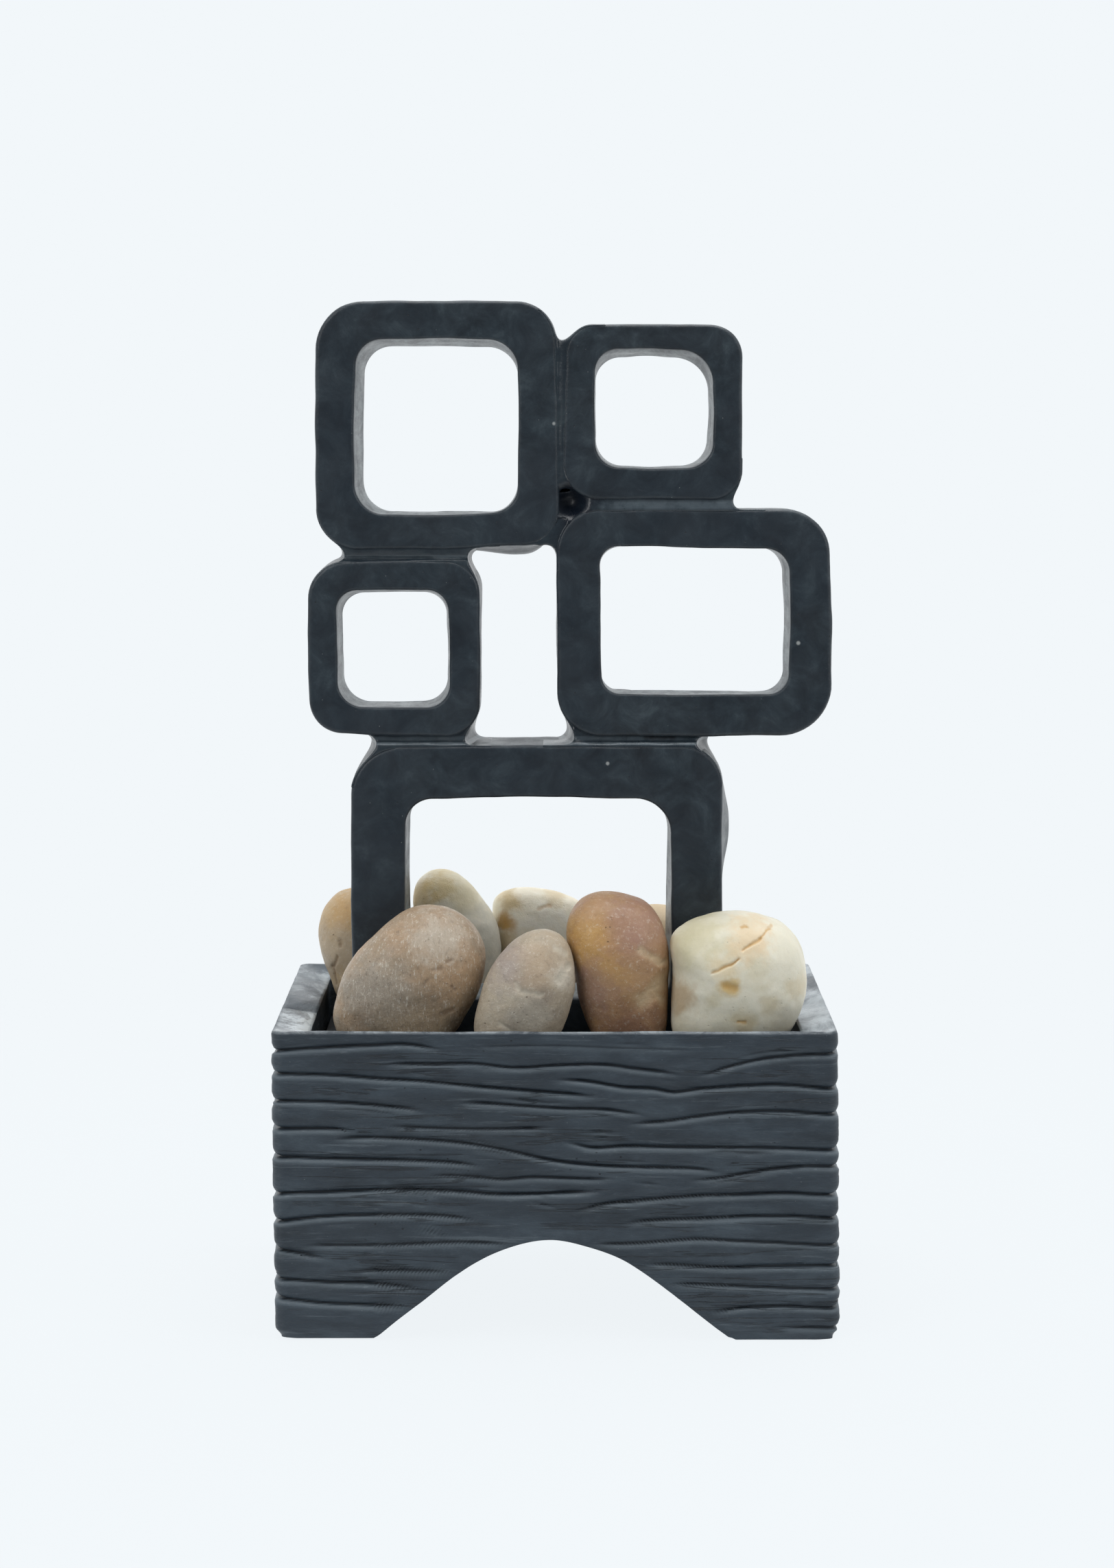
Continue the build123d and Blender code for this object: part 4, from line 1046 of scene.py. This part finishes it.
def segment_distance(x, z, mark):
    """Distance in the front view from points to a mark's line."""
    x0, z0, x1, z1 = mark[:4]
    dx, dz = x1 - x0, z1 - z0
    t = np.clip(((x - x0) * dx + (z - z0) * dz) / (dx * dx + dz * dz), 0, 1)
    return np.hypot(x - x0 - t * dx, z - z0 - t * dz)


def build_pebble(name, seed):
    """A river stone: its front outline blown up to the depth of its CAD node, then made uneven and marked."""
    spec = PEBBLES[name]
    low, high = node_box(name)
    outline_points = np.array(spec["outline"], float)
    centre = (outline_points.min(0) + outline_points.max(0)) / 2
    direction, quads = cube_sphere(spec["cells"])
    around = np.arctan2(direction[:, 2], direction[:, 0])
    radius = closed_radius(outline_points, centre, around)
    flat = np.hypot(direction[:, 0], direction[:, 2])
    full = spec["full"] / 2
    reach = flat ** (1 / full)
    depth = np.sign(direction[:, 1]) * np.abs(direction[:, 1]) ** (1 / full)
    norm = (reach ** (2 * full) + np.abs(depth) ** (2 * full)) ** (1 / (2 * full))
    reach, depth = reach / norm, depth / norm
    x = centre[0] + radius * reach * np.cos(around)
    z = centre[1] + radius * reach * np.sin(around)
    y = (low[1] + high[1]) / 2 + depth * (high[1] - low[1]) / 2
    points = np.c_[x, y, z]
    points[:, 1] += spec["lean"] * (z - centre[1]) * (1 - np.abs(depth))
    outward = direction / np.linalg.norm(direction, axis=1, keepdims=True)
    lumps = noise(points, 15.0, seed, 2) * spec["uneven"] * 0.9 - spec["uneven"] * 0.5
    dents = noise(points, 4.5, seed + 3, 3) * 0.12
    points += outward * (lumps * (0.35 + 0.65 * np.abs(direction[:, 1])) + dents)[:, None]
    mark = np.zeros(len(points))
    in_front = ramp(-direction[:, 1], 0.0, 0.25)
    stray_x = points[:, 0] + 0.6 * noise(points, 3.4, seed + 5, 3)
    stray_z = points[:, 2] + 0.6 * noise(points, 3.4, seed + 15, 3)
    patchy = noise(points, 2.2, seed + 25, 2)
    for line in spec["marks"]:
        gap = segment_distance(stray_x, stray_z, line) / line[4] + 0.35 * patchy
        cut = ramp(-gap, -1.9, -0.1) * in_front * (0.8 + 0.3 * patchy)
        points += outward * (-line[5] * cut)[:, None]
        mark = np.maximum(mark, cut)
    points[:, 1] = np.clip(points[:, 1], low[1], high[1])
    make_piece(name.replace("pebble", "river_stone"), points, quads, name.replace("pebble", "stone"),
               (name,), STONES[name], [("mark", mark)])


def stone_material(name, tones, patches=(), speck=0.25, grain=(1, 1, 1), mark_colour=(120, 92, 60),
                   rough=(0.42, 0.6), shift=0.0, soft_light=0.08, grit=1.0):
    """A tumbled stone: cloudy tone, local stains, fine light and dark grains, pits, and its own cut marks."""
    g = Graph(name, 0.4)
    place = g.node("Mapping", {"Vector": g.coord, "Location": (shift, shift * 0.7, shift * 1.3)}).outputs[0]
    colour = g.colours(g.noise(55, 5, 0.6, 0.3, vector=place), even_stops(tones, 0.32, 0.36))
    for x, z, radius, tone, amount in patches:
        colour = g.tint(colour, tone, g.spot(x, z, radius), amount)
    grains = g.noise(1500, 3, 0.7, 0.0, grain)
    coarse = g.noise(720, 5, 0.8, 0.0, grain)
    dark = g.noise(1100, 3, 0.75, 0.0, grain[::-1])
    shade = tuple(int(c * 0.6) for c in tones[0])
    colour = g.tint(colour, shade, g.spread(coarse, 0.46, 0.30, 0, 0.55 * speck + 0.05))
    colour = g.tint(colour, (228, 222, 208), g.spread(coarse, 0.54, 0.68, 0, 0.6 * speck + 0.05))
    colour = g.tint(colour, (225, 220, 208), g.spread(grains, 0.58, 0.74, 0, speck))
    colour = g.tint(colour, (92, 76, 60), g.spread(dark, 0.62, 0.78, 0, speck * 1.1))
    colour = g.tint(colour, mark_colour, g.attribute("mark"), 0.75)
    pits = g.times(g.spread(g.cells(520), 0.16, 0.04), g.spread(g.noise(150, 2), 0.5, 0.62))
    pitted = min(1.0, speck * 4)
    colour = g.tint(colour, (84, 66, 48), pits, 0.45 * pitted)
    g.bump(grains, 0.07 * grit, 0.9)
    g.bump(g.noise(330, 5, 0.68), 0.26 * grit, 0.7)
    g.bump(pits, -0.18, pitted)
    glow = {"Subsurface Weight": soft_light, "Subsurface Radius": (1.0, 0.8, 0.6),
            "Subsurface Scale": 1.5 * MM}
    return g.finish(colour, g.spread(g.noise(240, 4), 0.3, 0.7, *rough), glow)


DIAGONAL = (1.6, 1.0, 0.55)
STONES = {
    "pebble_front_left": stone_material(
        "stone_tan", [(140, 125, 107), (157, 140, 118), (172, 146, 118), (178, 162, 140)],
        # the pale patch at (-29, 98) is a painted highlight; the other patches are the stone's own colour
        [(-26, 89, 8, (182, 148, 112), 0.5), (-45, 84, 9, (160, 152, 140), 0.6),
         (-29, 98, 6, (192, 184, 170), 0.6), (-36, 71, 9, (190, 168, 138), 0.5)],
        speck=0.78, grain=DIAGONAL, mark_colour=(128, 106, 84), rough=(0.36, 0.6), grit=2.2),
    "pebble_front_centre": stone_material(
        "stone_grey_beige", [(156, 142, 126), (174, 160, 140), (184, 171, 150), (168, 158, 144)],
        [(-12, 92, 5, (160, 148, 146), 0.55), (-4, 91, 6, (190, 166, 138), 0.5),
         (1.5, 89, 3, (214, 206, 190), 0.6), (-7, 80, 6, (186, 180, 166), 0.5)],
        speck=0.5, mark_colour=(200, 192, 174), shift=0.2, grit=1.5),
    "pebble_front_mid": stone_material(
        "stone_ochre", [(146, 112, 86), (160, 124, 90), (170, 136, 98), (160, 126, 106)],
        [(9, 98, 6.5, (190, 148, 84), 0.8), (14.5, 91, 5.5, (186, 146, 90), 0.7),
         (21, 100.5, 8.5, (160, 124, 106), 0.7), (9, 84.5, 6, (150, 120, 110), 0.6),
         (24, 91, 6, (180, 144, 106), 0.4), (18, 72, 9, (140, 106, 88), 0.6),
         (8, 106, 4, (180, 146, 118), 0.4)],
        speck=0.36, mark_colour=(206, 186, 152), shift=0.4, rough=(0.38, 0.55), grit=1.4),
    "pebble_front_right": stone_material(
        "stone_cream", [(206, 199, 172), (218, 212, 190), (226, 221, 202), (212, 204, 178)],
        [(34, 99, 7, (204, 196, 160), 0.6), (48.4, 98.6, 4.8, (222, 198, 160), 0.75),
         (42, 91.6, 3.2, (220, 200, 160), 0.6), (30.6, 83.5, 3.8, (176, 142, 96), 0.55),
         (53.2, 82.6, 2.4, (202, 184, 142), 0.4), (46.5, 77.6, 2.8, (190, 168, 120), 0.5),
         (60, 76, 6, (200, 192, 172), 0.5), (60.5, 86, 3, (206, 190, 156), 0.5),
         (43.3, 87.2, 2.2, (198, 166, 96), 0.7)],
        speck=0.10, mark_colour=(194, 142, 48), shift=0.6, rough=(0.32, 0.46), soft_light=0.2, grit=0.6),
    "pebble_back_left": stone_material(
        "stone_sand", [(168, 146, 116), (184, 158, 120), (182, 164, 138), (176, 164, 146)],
        [(-56, 97, 4, (190, 150, 92), 0.6), (-59, 86, 6, (180, 168, 150), 0.5)],
        speck=0.3, shift=0.8, grit=1.3),
    "pebble_back_tall": stone_material(
        "stone_green_grey", [(212, 206, 184), (222, 215, 192), (230, 222, 202), (216, 208, 186)],
        [(-30, 104.5, 3.8, (204, 180, 122), 0.7), (-35, 101, 3.4, (206, 178, 118), 0.7),
         (-24, 102, 4, (198, 184, 144), 0.5), (-18, 90, 7, (176, 177, 170), 0.5)],
        speck=0.08, mark_colour=(196, 194, 182), shift=1.0, rough=(0.38, 0.5), soft_light=0.15),
    "pebble_back_centre": stone_material(
        "stone_stained", [(238, 228, 204), (245, 237, 216), (248, 242, 226), (240, 229, 204)],
        [(-12, 98.6, 2.4, (198, 170, 112), 0.7), (-13.4, 93, 2.2, (190, 146, 70), 0.85),
         (-13.4, 88, 2.6, (204, 176, 120), 0.6), (-0.5, 99.6, 2.6, (216, 194, 152), 0.6)],
        speck=0.08, mark_colour=(188, 140, 64), shift=1.2, rough=(0.38, 0.5), soft_light=0.15),
    "pebble_back_right": stone_material(
        "stone_small_sand", [(188, 164, 130), (200, 178, 144), (206, 186, 154), (192, 170, 140)],
        speck=0.15, shift=1.4),
    "pebble_back_corner": stone_material(
        "stone_corner_tan", [(150, 132, 110), (166, 146, 120), (176, 158, 134), (158, 146, 130)],
        speck=0.3, shift=1.6),
}
for seed, pebble_name in enumerate(PEBBLES):
    build_pebble(pebble_name, 300 + 11 * seed)

# ------------------------------------------------------------------ parts kept from the CAD


def plain_material(name, tones, size=60, grain=900, rough=(0.4, 0.55), metallic=0.0, relief=0.05, dust=0.0,
                   stretch=(1, 1, 1)):
    """A moulded, wound, ground or sintered material: cloudy tone, fine grain and a little wear."""
    g = Graph(name, 0.45)
    tone = g.colours(g.noise(size, 5, 0.6, 0.2, stretch), even_stops(tones, 0.3, 0.4))
    wear = g.spread(g.noise(grain, 4, 0.7, 0.0, stretch), 0.58, 0.74, 0, 0.25)
    tone = g.tint(tone, tuple(min(255, c + 40) for c in tones[-1]), wear)
    if dust:
        tone = g.tint(tone, (170, 172, 170), g.spread(g.cells(320), 0.06, 0.0), dust)
    g.bump(g.noise(grain, 4, 0.65, 0.0, stretch), relief)
    return g.finish(tone, g.spread(g.noise(140, 4), 0.3, 0.7, *rough), {"Metallic": metallic})


def clear_material():
    """Milky see-through vinyl with faint limescale."""
    g = Graph("vinyl_clear", 0.5)
    scale = g.spread(g.noise(180, 5, 0.65), 0.45, 0.7)
    tone = g.tint((206, 216, 220), (226, 228, 224), scale)
    g.bump(g.noise(300, 3), 0.04)
    return g.finish(tone, g.spread(scale, 0, 1, 0.12, 0.4), {"Transmission Weight": 0.7, "IOR": 1.45})


PLAIN = {
    "rubber_black": dict(tones=[(26, 26, 27), (36, 36, 37), (46, 46, 46)], rough=(0.62, 0.8), dust=0.4),
    "tray_black": dict(tones=[(22, 23, 25), (30, 31, 33), (40, 41, 43)], grain=1400, relief=0.08,
                       rough=(0.45, 0.6), dust=0.4),
    "pump_plastic": dict(tones=[(26, 27, 29), (34, 35, 37), (42, 43, 45)], grain=1200, dust=0.25),
    "pump_grey": dict(tones=[(118, 122, 126), (128, 132, 135), (136, 140, 142)], grain=1200),
    "impeller_plastic": dict(tones=[(218, 219, 214), (226, 226, 222), (232, 232, 228)], rough=(0.25, 0.38),
                             relief=0.02),
    "ferrite": dict(tones=[(52, 52, 55), (62, 62, 65), (74, 74, 76)], grain=2200, rough=(0.5, 0.65)),
    "core_steel": dict(tones=[(168, 168, 170), (182, 182, 184), (194, 194, 194)], metallic=1.0,
                       stretch=(1, 14, 1), rough=(0.28, 0.42)),
    "copper_coil": dict(tones=[(178, 98, 52), (196, 114, 62), (206, 130, 78)], metallic=0.9,
                        stretch=(1, 1, 16), rough=(0.25, 0.4), relief=0.15),
    "shaft_ceramic": dict(tones=[(232, 230, 224), (240, 238, 233)], rough=(0.18, 0.3), relief=0.01),
    "foam_grey": dict(tones=[(58, 59, 61), (78, 79, 81), (96, 97, 99)], size=900, grain=1600, relief=0.5,
                      rough=(0.85, 0.95)),
}
MATERIALS["vinyl_clear"] = clear_material()
MATERIALS.update({name: plain_material(name, **look) for name, look in PLAIN.items()})

for part in record["subparts"]:
    node = frame["nodes"][part["node"]]
    look = STONES[part["node"]] if part["node"] in STONES else MATERIALS[part["material_slot"]]
    if not node.data.materials:
        node.data.materials.append(look)
    for index in range(len(node.data.materials)):
        node.data.materials[index] = look
